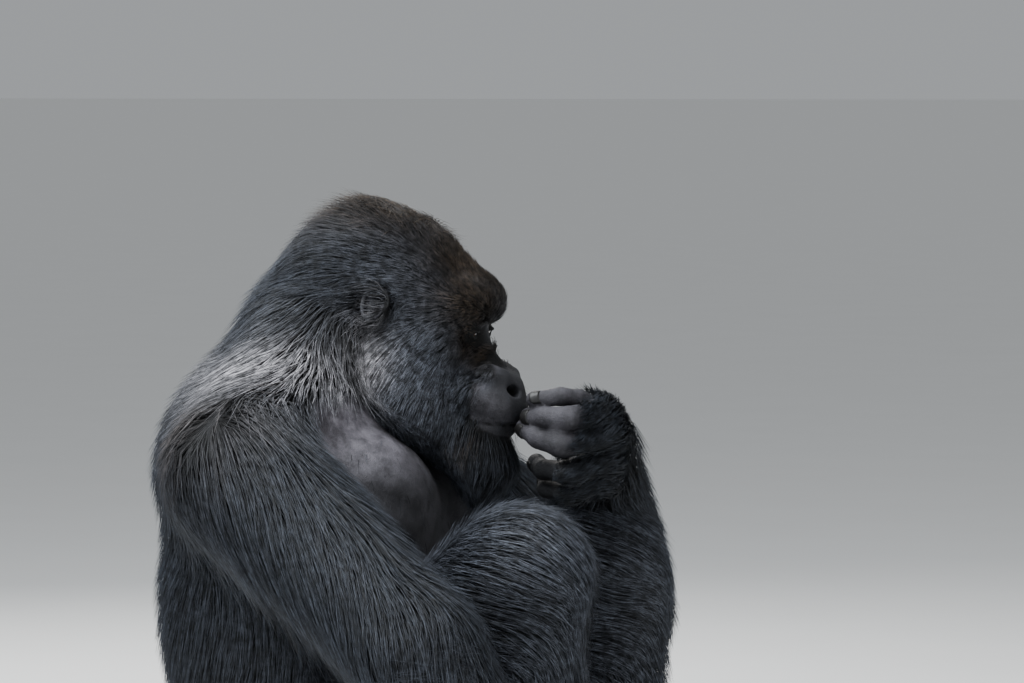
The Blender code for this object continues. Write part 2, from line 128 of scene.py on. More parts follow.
# masses blended into a block of space, then skinned; all lengths are metres
class Clay:
    def __init__(self, low, high, cell, place=(0, 0, 0), turn=None, spans=None):
        self.place = np.array(place, float)
        self.turn = np.eye(3) if turn is None else turn
        self.axes = [np.arange(a, b, cell) for a, b in zip(low, high)]
        for k, stops in (spans or {}).items():      # cells of other sizes along one axis
            runs = [np.linspace(a, b, max(round((b - a) / size), 1), endpoint=False)
                    for (a, size), (b, _) in zip(stops, stops[1:])]
            self.axes[k] = np.concatenate(runs)
        self.value = np.full([len(a) for a in self.axes], emptyClay, np.float32)

    def window(self, low, high):
        cut = []
        for axis, a, b in zip(self.axes, low, high):
            i, j = np.searchsorted(axis, [a, b])
            cut.append(slice(max(i - 1, 0), max(j + 1, 1)))
        x, y, z = (axis[s] for axis, s in zip(self.axes, cut))
        return tuple(cut), x[:, None, None], y[None, :, None], z[None, None, :]

    def put(self, mode, distance, low, high, soft, reach):
        cut, x, y, z = self.window(np.array(low) - reach, np.array(high) + reach)
        v = self.value[cut]
        if v.size == 0:
            return
        d = distance(x, y, z)
        if mode == "add":
            h = np.maximum(soft - np.abs(v - d), 0) / soft
            self.value[cut] = np.minimum(v, d) - h * h * soft / 4
        elif mode == "carve":
            h = np.maximum(soft - np.abs(v + d), 0) / soft
            self.value[cut] = np.maximum(v, -d) + h * h * soft / 4
        else:
            self.value[cut] = v + soft * np.exp(-(np.maximum(d, 0) / reach * 2.4) ** 2)

    def ball(self, centre, radii, turn=(0, 0, 0), soft=0.02, mode="add"):
        c, r, m = np.array(centre, float), np.array(radii, float), rotation(turn).T

        def distance(x, y, z):
            near, far = 0, 0
            for row, radius in zip(m, r):
                along = (row[0] * (x - c[0]) + row[1] * (y - c[1]) + row[2] * (z - c[2])) / radius
                near = near + along * along
                far = far + along * along / radius ** 2
            near = np.sqrt(near)
            return near * (near - 1) / np.maximum(np.sqrt(far), 1e-6)
        big = r.max() if any(turn) else r
        self.put(mode, distance, c - big, c + big, soft, soft + blendRoom)

    def rod(self, stations, soft=0.015, mode="add"):
        points = [np.array(p, float) for p, _ in stations]
        sizes = [s for _, s in stations]

        def distance(x, y, z):
            best = None
            for a, b, ra, rb in zip(points, points[1:], sizes, sizes[1:]):
                t, away = alongLine(a, b, x, y, z)
                gap = away - (ra + (rb - ra) * t)
                best = gap if best is None else np.minimum(best, gap)
            return best
        low, high = np.min(points, axis=0) - max(sizes), np.max(points, axis=0) + max(sizes)
        self.put(mode, distance, low, high, soft, soft + blendRoom)

    # a furrow, or with a negative depth a raised fold, along a line on the surface
    def furrow(self, points, width, depth):
        points = [np.array(p, float) for p in points]

        def distance(x, y, z):
            best = None
            for a, b in zip(points, points[1:]):
                t, away = alongLine(a, b, x, y, z)
                best = away if best is None else np.minimum(best, away)
            return best
        self.put("furrow", distance, np.min(points, axis=0), np.max(points, axis=0), depth, width * 2.4)

    # rings round a finger at a joint
    def rings(self, joint, axis, radius, places, width, depth):
        c, n = np.array(joint, float), unit(axis)

        def distance(x, y, z):
            along = (x - c[0]) * n[0] + (y - c[1]) * n[1] + (z - c[2]) * n[2]
            away = np.sqrt((x - c[0]) ** 2 + (y - c[1]) ** 2 + (z - c[2]) ** 2)
            near = np.min([np.abs(along - p) for p in places], axis=0)
            return np.hypot(near, np.maximum(away - radius, 0))
        self.put("furrow", distance, c - radius, c + radius, depth, width * 2.4)

    def floor(self, level, soft=0.004):
        def distance(x, y, z):
            return z - level + 0 * x + 0 * y
        self.put("carve", distance, [-9] * 3, [9] * 3, soft, 0)

    def holds(self, points):
        local = (points - self.place) @ self.turn
        inside = np.ones(len(points), bool)
        for k, axis in enumerate(self.axes):
            inside &= (local[:, k] > axis[1]) & (local[:, k] < axis[-2])
        return inside

    # value and slope at any points, in the body's frame
    def sample(self, points):
        local = (points - self.place) @ self.turn
        index, share, step = [], [], []
        for k, axis in enumerate(self.axes):
            i = np.clip(np.searchsorted(axis, local[:, k]) - 1, 0, len(axis) - 2)
            gap = axis[i + 1] - axis[i]
            index.append(i)
            step.append(gap)
            share.append(np.clip((local[:, k] - axis[i]) / gap, 0, 1))
        i, j, k = index
        fx, fy, fz = share
        c = {(a, b, d): self.value[i + a, j + b, k + d] for a in (0, 1) for b in (0, 1) for d in (0, 1)}
        x00 = c[0, 0, 0] * (1 - fx) + c[1, 0, 0] * fx
        x10 = c[0, 1, 0] * (1 - fx) + c[1, 1, 0] * fx
        x01 = c[0, 0, 1] * (1 - fx) + c[1, 0, 1] * fx
        x11 = c[0, 1, 1] * (1 - fx) + c[1, 1, 1] * fx
        y0, y1 = x00 * (1 - fy) + x10 * fy, x01 * (1 - fy) + x11 * fy
        value = y0 * (1 - fz) + y1 * fz
        slopeZ = (y1 - y0) / step[2]
        slopeY = ((x10 - x00) * (1 - fz) + (x11 - x01) * fz) / step[1]
        low = (c[1, 0, 0] - c[0, 0, 0]) * (1 - fy) + (c[1, 1, 0] - c[0, 1, 0]) * fy
        high = (c[1, 0, 1] - c[0, 0, 1]) * (1 - fy) + (c[1, 1, 1] - c[0, 1, 1]) * fy
        slopeX = (low * (1 - fz) + high * fz) / step[0]
        return value, np.stack([slopeX, slopeY, slopeZ], axis=1) @ self.turn.T

    # a quad mesh of the surface: one point in each cell that it crosses
    def skinned(self, name):
        v = self.value
        inside = v < 0
        n = np.array(v.shape) - 1
        near = [(a, b, c) for a in (0, 1) for b in (0, 1) for c in (0, 1)]
        count = sum(inside[a:a + n[0], b:b + n[1], c:c + n[2]].astype(np.uint8) for a, b, c in near)
        cells = np.argwhere((count > 0) & (count < 8))
        corner = {o: v[cells[:, 0] + o[0], cells[:, 1] + o[1], cells[:, 2] + o[2]] for o in near}
        total, hits = np.zeros((len(cells), 3)), np.zeros(len(cells))
        for a in near:
            for k in range(3):
                if a[k]:
                    continue
                b = tuple(1 if m == k else a[m] for m in range(3))
                crossed = (corner[a] < 0) != (corner[b] < 0)
                t = corner[a] / np.where(crossed, corner[a] - corner[b], 1)
                spot = np.tile(np.array(a, float), (len(cells), 1))
                spot[:, k] = t
                total += spot * crossed[:, None]
                hits += crossed
        spots = total / hits[:, None]
        points = np.empty((len(cells), 3))
        for k, axis in enumerate(self.axes):
            i = cells[:, k]
            points[:, k] = axis[i] + (axis[i + 1] - axis[i]) * spots[:, k]
        number = np.full(n, -1, np.int32)
        number[tuple(cells.T)] = np.arange(len(cells))
        quads = []
        for k in range(3):
            b, c = (k + 1) % 3, (k + 2) % 3
            ahead = np.roll(inside, -1, axis=k)
            flip = np.argwhere(inside != ahead)
            flip = flip[(flip[:, k] < n[k]) & (flip[:, b] > 0) & (flip[:, c] > 0)
                        & (flip[:, b] < n[b]) & (flip[:, c] < n[c])]
            out = inside[tuple(flip.T)]
            ring = []
            for db, dc in ((1, 1), (0, 1), (0, 0), (1, 0)):
                cell = flip.copy()
                cell[:, b] -= db
                cell[:, c] -= dc
                ring.append(number[tuple(cell.T)])
            ring = np.stack(ring, axis=1)
            ring[~out] = ring[~out][:, ::-1]
            quads.append(ring)
        quads = np.concatenate(quads)
        world = points @ self.turn.T + self.place + shift
        return meshObject(name, world, quads)


def meshObject(name, points, faces):
    mesh = bpy.data.meshes.new(name)
    faces = np.asarray(faces, np.int32)
    size = faces.shape[1]
    mesh.vertices.add(len(points))
    mesh.vertices.foreach_set("co", np.asarray(points, np.float32).ravel())
    mesh.loops.add(faces.size)
    mesh.loops.foreach_set("vertex_index", faces.ravel())
    mesh.polygons.add(len(faces))
    mesh.polygons.foreach_set("loop_start", np.arange(0, faces.size, size, dtype=np.int32))
    mesh.update(calc_edges=True)
    mesh.shade_smooth()
    made = bpy.data.objects.new(name, mesh)
    bpy.context.scene.collection.objects.link(made)
    return made


# trunk, neck, arms and legs without their hair
bodyClay = Clay((-0.42, -0.56, -0.03), (0.46, 0.50, 0.92), 0.0105, spans={
    0: [(-0.42, 0.0105), (-0.10, 0.0060), (0.10, 0.0105), (0.46, 0)],
    1: [(-0.56, 0.0105), (-0.26, 0.0066), (-0.04, 0.0105), (0.50, 0)],
    2: [(-0.03, 0.0105), (0.48, 0.0060), (0.68, 0.0105), (0.92, 0)]})


def mirrored(points, side):
    return [(x, side * y, z) for x, y, z in points]


# width, depth and line of the folds of the throat and the breast
breastFolds = [
    (0.0110, 0.0075, [(-0.060, 0.150, 0.665), (-0.048, 0.105, 0.655), (-0.028, 0.050, 0.640)]),
    (0.0100, 0.0060, [(-0.035, 0.095, 0.642), (-0.015, 0.120, 0.618), (0.012, 0.168, 0.588)]),
    (0.0090, 0.0045, [(-0.010, 0.070, 0.632), (0.020, 0.085, 0.605), (0.045, 0.105, 0.575)]),
    (0.0120, 0.0050, [(0.030, 0.200, 0.560), (0.052, 0.165, 0.540), (0.070, 0.120, 0.520)]),
]


def shapeBody(clay):
    clay.ball((-0.115, 0, 0.130), (0.180, 0.212, 0.150), soft=0.05)
    clay.ball((-0.035, 0, 0.270), (0.182, 0.208, 0.178), soft=0.05)
    clay.ball((-0.122, 0, 0.300), (0.166, 0.208, 0.175), soft=0.05)
    clay.ball((-0.124, 0, 0.410), (0.180, 0.228, 0.205), (0, 6, 0), soft=0.05)
    clay.ball((-0.142, 0, 0.545), (0.160, 0.236, 0.106), (0, 8, 0), soft=0.05)
    clay.ball((-0.190, 0, 0.605), (0.108, 0.172, 0.106), (0, 10, 0), soft=0.05)
    clay.rod([((-0.140, 0, 0.630), 0.114), ((-0.108, 0, 0.715), 0.110), ((-0.078, 0, 0.765), 0.094)],
             soft=0.04)
    for name, side in sides.items():
        clay.ball((-0.134, side * 0.180, 0.572), (0.090, 0.092, 0.080), soft=0.05)
        clay.rod([((-0.092, side * 0.060, 0.650), 0.058), ((-0.100, side * 0.165, 0.622), 0.058)], soft=0.06)
        clay.rod([((-0.070, side * 0.110, 0.625), 0.052), ((-0.012, side * 0.115, 0.550), 0.070)], soft=0.06)
        clay.ball((-0.010, side * 0.100, 0.505), (0.074, 0.116, 0.098), (0, 20, side * 15), soft=0.05)
        clay.rod([((-0.100, side * 0.055, 0.735), 0.066), ((-0.130, side * 0.150, 0.640), 0.064)], soft=0.04)
        start, bend, end = shoulder[name], elbow[name], wrist[name]
        clay.rod([(start, 0.082), (between(start, bend, 0.5), 0.070), (bend, 0.060)], soft=0.05)
        thick = {"right": 0.062, "left": 0.060}[name]
        clay.rod([(bend, 0.060), (between(bend, end, 0.38), thick), (end, 0.038)], soft=0.03)
        start, bend, end = hip[name], knee[name], ankle[name]
        clay.rod([(start, 0.112), (between(start, bend, 0.5), 0.100), (bend, 0.076)], soft=0.04)
        calf = between(bend, end, 0.42) + (-0.014, 0, 0)
        clay.rod([(bend, 0.074), (calf, 0.063), (end, 0.041)], soft=0.03)
        for width, depth, points in breastFolds:
            clay.furrow(mirrored(points, side), width, depth)
    clay.floor(0.0015)


shapeBody(bodyClay)
report("body clay")

# the head's own frame: x to the nose, y to the left ear, z to the crown
headClay = Clay((-0.175, -0.140, -0.185), (0.222, 0.140, 0.118), 0.0018, headPlace, headTurn, {
    0: [(-0.175, 0.0048), (-0.034, 0.0020), (0.020, 0.0034), (0.070, 0.0017), (0.222, 0)],
    2: [(-0.185, 0.0040), (-0.150, 0.0018), (0.066, 0.0045), (0.118, 0)]})

# the left half of the line between the lips
mouthLine = [(0.148, 0.061, -0.1180), (0.162, 0.055, -0.1130), (0.181, 0.045, -0.1060),
             (0.197, 0.028, -0.1025), (0.2060, 0.010, -0.1005), (0.2070, 0, -0.1003)]


# width, depth and line of the folds beside the nose and the eye
eyeFolds = [
    (0.0034, 0.0018, [(0.121, 0.004, -0.002), (0.123, 0.018, -0.018),
                      (0.113, 0.036, -0.026), (0.098, 0.054, -0.024)]),
    (0.0040, 0.0022, [(0.118, 0.010, 0.010), (0.124, 0.022, 0.008), (0.117, 0.045, 0.008)]),
    (0.0034, 0.0016, [(0.131, 0.006, -0.012), (0.127, 0.024, -0.022), (0.120, 0.040, -0.034)]),
]


def shapeHead(clay):
    # skull, jaw and the muscles over them
    clay.ball((-0.020, 0, 0.018), (0.102, 0.080, 0.064), soft=0.03)
    clay.rod([((-0.056, 0, 0.056), 0.040), ((-0.020, 0, 0.056), 0.041), ((0.080, 0, 0.037), 0.027)],
             soft=0.04)
    clay.ball((-0.084, 0, -0.018), (0.068, 0.080, 0.076), soft=0.03)
    clay.ball((-0.092, 0, -0.070), (0.050, 0.074, 0.052), soft=0.03)
    clay.ball((0.070, 0, -0.050), (0.066, 0.062, 0.068), soft=0.02)
    clay.ball((0.085, 0, -0.120), (0.080, 0.060, 0.050), (0, 14, 0), soft=0.03)
    for side in (-1, 1):
        clay.ball((-0.005, side * 0.050, 0.022), (0.088, 0.044, 0.050), soft=0.02)
        clay.ball((0.063, side * 0.066, -0.022), (0.046, 0.025, 0.026), soft=0.02)
        clay.ball((0.046, side * 0.060, -0.092), (0.062, 0.034, 0.070), (0, -28, 0), soft=0.035)
    # muzzle
    clay.ball((0.143, 0, -0.076), (0.0690, 0.060, 0.040), (0, 7, 0), soft=0.014)
    clay.ball((0.132, 0, -0.118), (0.070, 0.050, 0.030), (0, 8, 0), soft=0.006)
    clay.ball((0.152, 0, -0.141), (0.050, 0.042, 0.034), (0, 8, 0), soft=0.016)
    # brow and the bridge of the nose
    for side in (-1, 1):
        clay.rod([((0.100, 0, 0.035), 0.0215), ((0.1000, side * 0.030, 0.0345), 0.0230),
                  ((0.086, side * 0.056, 0.026), 0.0200), ((0.068, side * 0.068, 0.004), 0.016)], soft=0.024)
    clay.rod([((0.098, 0, 0.004), 0.020), ((0.130, 0, -0.030), 0.0165), ((0.158, 0, -0.046), 0.0160),
              ((0.182, 0, -0.058), 0.0145)], soft=0.014)
    for side in (-1, 1):
        # eye bed, then the pads of the nose
        clay.ball((0.090, side * 0.038, -0.008), (0.022, 0.027, 0.025), soft=0.010)
        clay.ball((0.1065, side * 0.037, -0.0005), (0.0158, 0.0168, 0.0150), soft=0.006)
        clay.rod([((0.178, side * 0.008, -0.0520), 0.0130), ((0.169, side * 0.024, -0.0455), 0.0135),
                  ((0.1545, side * 0.0345, -0.0440), 0.0132), ((0.157, side * 0.0325, -0.0600), 0.0108),
                  ((0.176, side * 0.018, -0.0710), 0.0085)], soft=0.008)
    clay.rod([((0.181, 0, -0.052), 0.0100), ((0.1880, 0, -0.062), 0.0075), ((0.1900, 0, -0.073), 0.0070)],
             soft=0.007)
    for side in (-1, 1):
        clay.ball((0.1850, side * 0.0195, -0.0585), (0.0165, 0.0118, 0.0085), (0, -20, side * 24),
                  0.004, "carve")
        clay.rod([((0.176, side * 0.016, -0.057), 0.0062), ((0.158, side * 0.012, -0.050), 0.0045)],
                 0.003, "carve")
        clay.furrow(mirrored([(0.132, 0.022, -0.012), (0.134, 0.042, -0.026), (0.137, 0.049, -0.044),
                              (0.145, 0.047, -0.062), (0.158, 0.038, -0.074), (0.186, 0.016, -0.082)], side),
                    0.0042, 0.0046)
        clay.furrow(mirrored([(0.164, 0.000, -0.032), (0.172, 0.014, -0.0320), (0.166, 0.028, -0.030)], side),
                    0.0026, 0.0016)
    # mouth
    girths = (0.0035, 0.0050, 0.0064, 0.0072, 0.0074)
    for side in (-1, 1):
        for down, back, grow in ((0.0055, 0.0075, 1.0), (-0.0080, 0.0115, 1.05)):
            clay.rod([((x - back, side * y * 0.86, z + down), girth * grow)
                      for (x, y, z), girth in zip(mouthLine[1:], girths)], soft=0.008)
        clay.furrow(mirrored(mouthLine, side), 0.0034, 0.0072)
        clay.rod([((x - 0.001, side * y * 0.98, z), 0.0028) for x, y, z in mouthLine], 0.001, "carve")
        clay.furrow(mirrored([(0.133, 0.058, -0.068), (0.143, 0.062, -0.095), (0.146, 0.062, -0.120)], side),
                    0.0050, 0.0022)
        clay.furrow(mirrored([(0.118, 0.062, -0.050), (0.128, 0.060, -0.070)], side), 0.0040, 0.0016)
    for place in (-0.030, -0.018, -0.008, 0.003, 0.012, 0.022, 0.034):
        off = abs(place)
        clay.furrow([(0.1965 - off * 0.45, place, -0.072), (0.205 - off * 0.55, place * 1.1, -0.092)],
                    0.0022, 0.0007)
    # lids and the folds about the eyes
    for side in (-1, 1):
        eye = eyePlace * (1, side, 1)

        def lidLine(lift, reach, out=0.0):
            line = []
            for k in range(9):
                across = math.radians(-52 + 13 * k) * reach
                up = math.radians(lift) * math.cos(math.radians(-78 + 19.5 * k))
                ahead = np.array((math.cos(across) * math.cos(up), math.sin(across) * side,
                                  math.sin(up) - 0.10))
                line.append(eye + unit(ahead) * (eyeRadius + out))
            return line
        clay.rod([(p, 0.0024) for p in lidLine(20, 1.0, 0.0020)], soft=0.004)
        clay.rod([(p, 0.0022) for p in lidLine(-24, 1.0, 0.0018)], soft=0.004)
        slit = [0.0010, 0.0018, 0.0027, 0.0033, 0.0035, 0.0033, 0.0027, 0.0018, 0.0010]
        clay.rod(list(zip(lidLine(-2, 0.88, 0.0022), slit)), 0.0012, "carve")
        for lift, reach, out, width, depth in ((50, 1.15, 0.0050, 0.0022, 0.0016),
                                               (-54, 1.2, 0.0050, 0.0022, 0.0014),
                                               (-82, 1.35, 0.0085, 0.0028, 0.0016)):
            clay.furrow(lidLine(lift, reach, out), width, depth)
        for width, depth, points in eyeFolds:
            clay.furrow(mirrored(points, side), width, depth)
    for height in (-0.004, 0.004, -0.012):
        clay.furrow([(0.121 + height * -0.4, -0.012, height), (0.1235 + height * -0.4, 0, height + 0.002),
                     (0.121 + height * -0.4, 0.012, height)], 0.0022, 0.0012)
    # ears: a thin plate with a rolled rim, a hollow and a small lobe
    for side in (-1, 1):
        centre, turn = np.array((-0.006, side * 0.099, -0.004)), (side * 10, -14, side * 26)
        m = rotation(turn)

        def spot(ahead, out, up):
            return centre + m @ np.array((ahead, side * out, up))
        clay.ball(spot(0, -0.006, 0), (0.0175, 0.0100, 0.0235), turn, soft=0.006)
        clay.ball(spot(0.003, 0.004, 0.002), (0.0120, 0.0110, 0.0160), turn, 0.004, "carve")
        rim = []
        for k in range(15):
            angle = math.radians(-60 + 300 * k / 14)
            wave = 0.0012 * math.sin(angle * 3 + 0.6)
            rim.append((spot(math.cos(angle) * (0.0168 + wave), 0.0035 - 0.0035 * math.cos(angle) - wave,
                             math.sin(angle) * (0.0225 + wave)), 0.0040 - 0.0014 * abs(k - 6) / 8))
        clay.rod(rim, soft=0.003)
        clay.rod([(spot(-0.0070, -0.001, 0.0125), 0.0024), (spot(-0.0095, 0.000, 0.000), 0.0028),
                  (spot(-0.0060, 0.000, -0.0110), 0.0026)], soft=0.003)
        clay.ball(spot(0.0125, 0.002, -0.004), (0.0042, 0.0034, 0.0055), turn, soft=0.003)
        clay.ball(spot(0.005, -0.004, 0.004), (0.0075, 0.0110, 0.0100), turn, 0.003, "carve")
        clay.ball(spot(-0.001, 0.001, -0.0225), (0.0070, 0.0042, 0.0060), turn, soft=0.004)


shapeHead(headClay)
report("head clay")


# the bones of a finger or toe, each a little thinner than the one before, with rings at the joints
def finger(clay, joints, radius, soft=0.004):
    last = len(joints) - 1
    joints = [np.array(j, float) for j in joints]
    for k, (a, b) in enumerate(zip(joints, joints[1:])):
        ra, rb = radius * (1 - 0.09 * k), radius * (1 - 0.09 * (k + 1))
        clay.rod([(a, ra), (between(a, b, 0.5), (ra + rb) / 2 * 0.93), (b, rb)], soft=soft)
    for k in range(1, last):
        axis = unit(joints[k + 1] - joints[k - 1])
        clay.rings(joints[k], axis, radius * 1.15, (-0.0056, -0.0020, 0.0018, 0.0056), 0.0019, 0.0011)
    clay.rings(joints[-1], unit(joints[-1] - joints[-2]), radius * 0.9, (-0.010,), 0.0020, 0.0006)


leftHand = {
    "index": [(0.268, 0.034, 0.646), (0.243, -0.022, 0.643), (0.210, -0.022, 0.643), (0.186, -0.013, 0.642)],
    "middle": [(0.278, 0.036, 0.618), (0.235, -0.026, 0.607), (0.202, -0.022, 0.616), (0.178, -0.008, 0.627)],
    "ring": [(0.275, 0.044, 0.588), (0.236, -0.014, 0.572), (0.200, 0.002, 0.573), (0.184, 0.020, 0.580)],
    "little": [(0.265, 0.056, 0.560), (0.231, 0.004, 0.543), (0.198, 0.020, 0.546), (0.191, 0.036, 0.557)],
    "thumb": [(0.252, 0.072, 0.648), (0.240, 0.030, 0.664), (0.226, -0.004, 0.670), (0.194, -0.016, 0.666)],
}
leftGirth = {"index": 0.0180, "middle": 0.0180, "ring": 0.0172, "little": 0.0156, "thumb": 0.0156}
leftClay = Clay((0.14, -0.07, 0.50), (0.33, 0.18, 0.71), 0.0024)


def shapeLeftHand(clay):
    start = wrist["left"]
    palm = start + unit(elbow["left"] - start) * 0.02
    clay.rod([(palm + unit(elbow["left"] - start) * 0.03, 0.036), (palm, 0.036)], soft=0.01)
    for name in ("index", "middle", "ring", "little"):
        knuckle = leftHand[name][0]
        clay.rod([(palm, 0.036), (between(start, knuckle, 0.5), 0.030), (knuckle, 0.0215)], soft=0.008)
    for name, joints in leftHand.items():
        finger(clay, joints, leftGirth[name])
    web = [between(*leftHand[name][1:3], 0.30) for name in ("index", "middle")]
    clay.rod([(web[0], 0.011), (web[1], 0.011)], soft=0.006)


shapeLeftHand(leftClay)

forward = unit((0.97, -0.20, 0.0))
across = np.array((-forward[1], forward[0], 0.0))
rightHand = {}
rightGirth = {"index": 0.0196, "middle": 0.0196, "ring": 0.0190, "little": 0.0180, "thumb": 0.0176}
rightPalm = wrist["right"] + forward * 0.100 + (0, 0, -0.044)
for name, aside, size in (("index", 0.054, 0.92), ("middle", 0.019, 1.0), ("ring", -0.016, 0.94),
                          ("little", -0.048, 0.80)):
    root = rightPalm + across * aside
    ray = unit(forward + across * aside * 1.8)
    rightHand[name] = [root, root + ray * 0.062 * size + (0, 0, -0.006),
                       root + ray * 0.106 * size + (0, 0, -0.023), root + ray * 0.132 * size + (0, 0, -0.027)]
thumbRoot = wrist["right"] + across * 0.042 + forward * 0.03 + (0, 0, -0.045)
rightHand["thumb"] = [thumbRoot, thumbRoot + forward * 0.034 + across * 0.030 + (0, 0, -0.014),
                      thumbRoot + forward * 0.068 + across * 0.041 + (0, 0, -0.024)]
rightClay = Clay((0.27, -0.55, -0.02), (0.60, -0.30, 0.16), 0.0032)


def shapeRightHand(clay):
    start = wrist["right"]
    for name in ("index", "middle", "ring", "little"):
        root = rightHand[name][0]
        aside = float((root - rightPalm) @ across)
        clay.rod([(start + across * aside * 0.3 + (-0.006, 0, 0.008), 0.034),
                  (between(start, root, 0.55) + across * aside * 0.2 + (0, 0, -0.006), 0.028),
                  (root, 0.0215)], soft=0.008)
    clay.rod([(start + unit(elbow["right"] - start) * 0.03, 0.036), (start, 0.036)], soft=0.01)
    for name, joints in rightHand.items():
        finger(clay, joints, rightGirth[name])
    clay.floor(0.0012, 0.003)


shapeRightHand(rightClay)
report("hand clay")


footClay, toes = {}, {}


def shapeFoot(name):
    side = sides[name]
    turn = rotation((0, 0, footTurn[name]))
    ahead, aside = turn @ (1, 0, 0), turn @ (0, -side, 0)
    base = ankle[name] * (1, 1, 0)

    def spot(x, y, z):
        return base + ahead * x + aside * y + np.array((0, 0, z))
    middlePlace = spot(0.09, 0.01, 0)
    clay = Clay(middlePlace + (-0.19, -0.15, -0.02), middlePlace + (0.19, 0.15, 0.20), 0.0040)
    up = unit(knee[name] - ankle[name])
    clay.rod([(ankle[name] + up * 0.05, 0.040), (spot(0, 0, 0.050), 0.040), (spot(-0.036, 0, 0.036), 0.038)],
             soft=0.02)
    for off in (-0.040, -0.012, 0.018):
        clay.rod([(spot(-0.02, off * 0.4, 0.038), 0.036), (spot(0.08, off, 0.038), 0.032),
                  (spot(0.160, off * 1.25, 0.026), 0.026)], soft=0.012)
    toes[name] = []
    for off, length in ((-0.054, 0.205), (-0.024, 0.222), (0.006, 0.230), (0.036, 0.228)):
        joints = [spot(0.160, off * 1.05, 0.027), spot(0.160 + (length - 0.16) * 0.55, off * 1.12, 0.029),
                  spot(length + 0.010, off * 1.16, 0.018)]
        toes[name].append((joints, 0.0192))
        finger(clay, joints, 0.0192)
    joints = [spot(0.040, 0.034, 0.034), spot(0.095, 0.074, 0.033), spot(0.150, 0.100, 0.024)]
    toes[name].append((joints, 0.0255))
    finger(clay, joints, 0.0255, 0.010)
    clay.floor(0.0012, 0.003)
    footClay[name] = clay


for name in sides:
    shapeFoot(name)
report("foot clay")

clays = {"body": bodyClay, "head": headClay, "leftHand": leftClay, "rightHand": rightClay,
         "leftFoot": footClay["left"], "rightFoot": footClay["right"]}
clayNames = list(clays)


def buildSkin():
    skin = bodyClay.skinned("skin")
    for name, clay in clays.items():
        if name == "body":
            continue
        piece = clay.skinned(name)
        join = skin.modifiers.new("Join", "BOOLEAN")
        join.operation, join.solver, join.object = "UNION", "MANIFOLD", piece
        bpy.context.view_layer.update()
        graph = bpy.context.evaluated_depsgraph_get()
        mesh = bpy.data.meshes.new_from_object(skin.evaluated_get(graph))
        skin.modifiers.clear()
        skin.data = mesh
        bpy.data.objects.remove(piece)
    skin.data.name = "skin"
    skin.data.shade_smooth()
    return skin


skin = buildSkin()
skin.data.calc_loop_triangles()
report(f"skin, {len(skin.data.polygons)} faces, {len(skin.data.loop_triangles)} triangles")


# markings, one rule for the skin and the coat: each spot has a centre, a reach and a strength
def spread(points, spots):
    total = np.zeros(len(points))
    for centre, radii, strength in spots:
        for side in ((1, -1) if centre[1] else (1,)):
            away = (points - np.array(centre) * (1, side, 1)) / np.array(radii)
            total = np.maximum(total, strength * np.exp(-(away ** 2).sum(axis=1)))
    return total


silverSpots = [
    ((0.002, -0.088, 0.735), (0.030, 0.040, 0.037), 1.0),
    ((-0.100, -0.150, 0.722), (0.070, 0.07, 0.036), 0.84),
    ((-0.175, -0.110, 0.712), (0.065, 0.11, 0.042), 0.36),
    ((-0.235, -0.060, 0.680), (0.055, 0.12, 0.050), 0.12),
    ((-0.150, -0.210, 0.662), (0.090, 0.07, 0.035), 0.08),
    ((-0.045, -0.125, 0.700), (0.030, 0.04, 0.040), 0.45),
]
# these, and the pale spots, are in the head's own frame
# the first four spots are brown hair; the spots from the eye on, and those along the mouth, are painted shade
# in the hollows
brownAndShadeSpots = [
    ((-0.040, 0.0, 0.112), (0.130, 0.070, 0.055), 1.0),       # crown
    ((0.075, 0.0, 0.060), (0.07, 0.07, 0.045), 1.0),
    ((-0.02, -0.085, -0.060), (0.05, 0.03, 0.05), 0.30),
    ((0.100, 0.045, 0.036), (0.040, 0.045, 0.036), 1.0),      # brow
    ((0.116, 0.034, -0.006), (0.030, 0.036, 0.024), 1.1),     # painted shade of the eye and the hollow below it
    ((0.134, 0.036, -0.026), (0.016, 0.03, 0.014), 0.8),
    ((0.146, 0.012, -0.031), (0.026, 0.026, 0.019), 1.1),
    ((0.187, 0.0, -0.060), (0.015, 0.016, 0.013), 0.95),      # painted shade in the nostrils
    ((0.000, 0.104, 0.007), (0.010, 0.014, 0.011), 0.9),      # painted shade in the ear's hollow
    ((-0.006, 0.106, -0.004), (0.024, 0.014, 0.028), 0.58),
]
# painted shade along the line between the lips
brownAndShadeSpots += [(place, (0.013, 0.013, 0.0034), 0.95) for place in mouthLine]
shoulderBrown = [((-0.165, -0.240, 0.650), (0.06, 0.07, 0.05), 0.55)]
paleSpots = [
    ((0.040, 0.090, -0.060), (0.065, 0.05, 0.070), 1.0),
    ((0.020, 0.085, -0.120), (0.06, 0.05, 0.06), 0.9),
    ((0.085, 0.075, -0.060), (0.050, 0.04, 0.060), 0.9),
    ((0.030, 0.085, 0.015), (0.060, 0.04, 0.045), 0.55),
]
# painted highlight on the nose wings, and paler skin of the lips
wingHighlightAndLipPale = [
    ((0.152, 0.046, -0.046), (0.0095, 0.014, 0.019), 1.0),
    ((0.160, 0.055, -0.088), (0.045, 0.03, 0.026), 0.24),
]
# centre and reach of each bare place of the head, then of the chest
faceSpots = [
    ((0.172, 0.0, -0.077), (0.047, 0.070, 0.044)),
    ((0.121, 0.0, -0.004), (0.021, 0.053, 0.016)),
    ((0.167, 0.0, -0.046), (0.037, 0.044, 0.030)),
    ((0.184, 0.0, -0.109), (0.034, 0.056, 0.0095)),
    ((-0.009, 0.104, -0.006), (0.0165, 0.022, 0.022)),
    ((-0.009, -0.104, -0.006), (0.0165, 0.022, 0.022)),
]
chestSpots = [
    ((-0.030, 0.140, 0.620), (0.065, 0.085, 0.060)),
    ((0.035, 0.130, 0.560), (0.080, 0.100, 0.080)),
    ((0.060, 0.0, 0.520), (0.080, 0.16, 0.080)),
]
faceBareMost, chestBareMost = 0.90, 0.82     # how bare they are at most


def headLocal(points):
    return (points - headPlace) @ headTurn


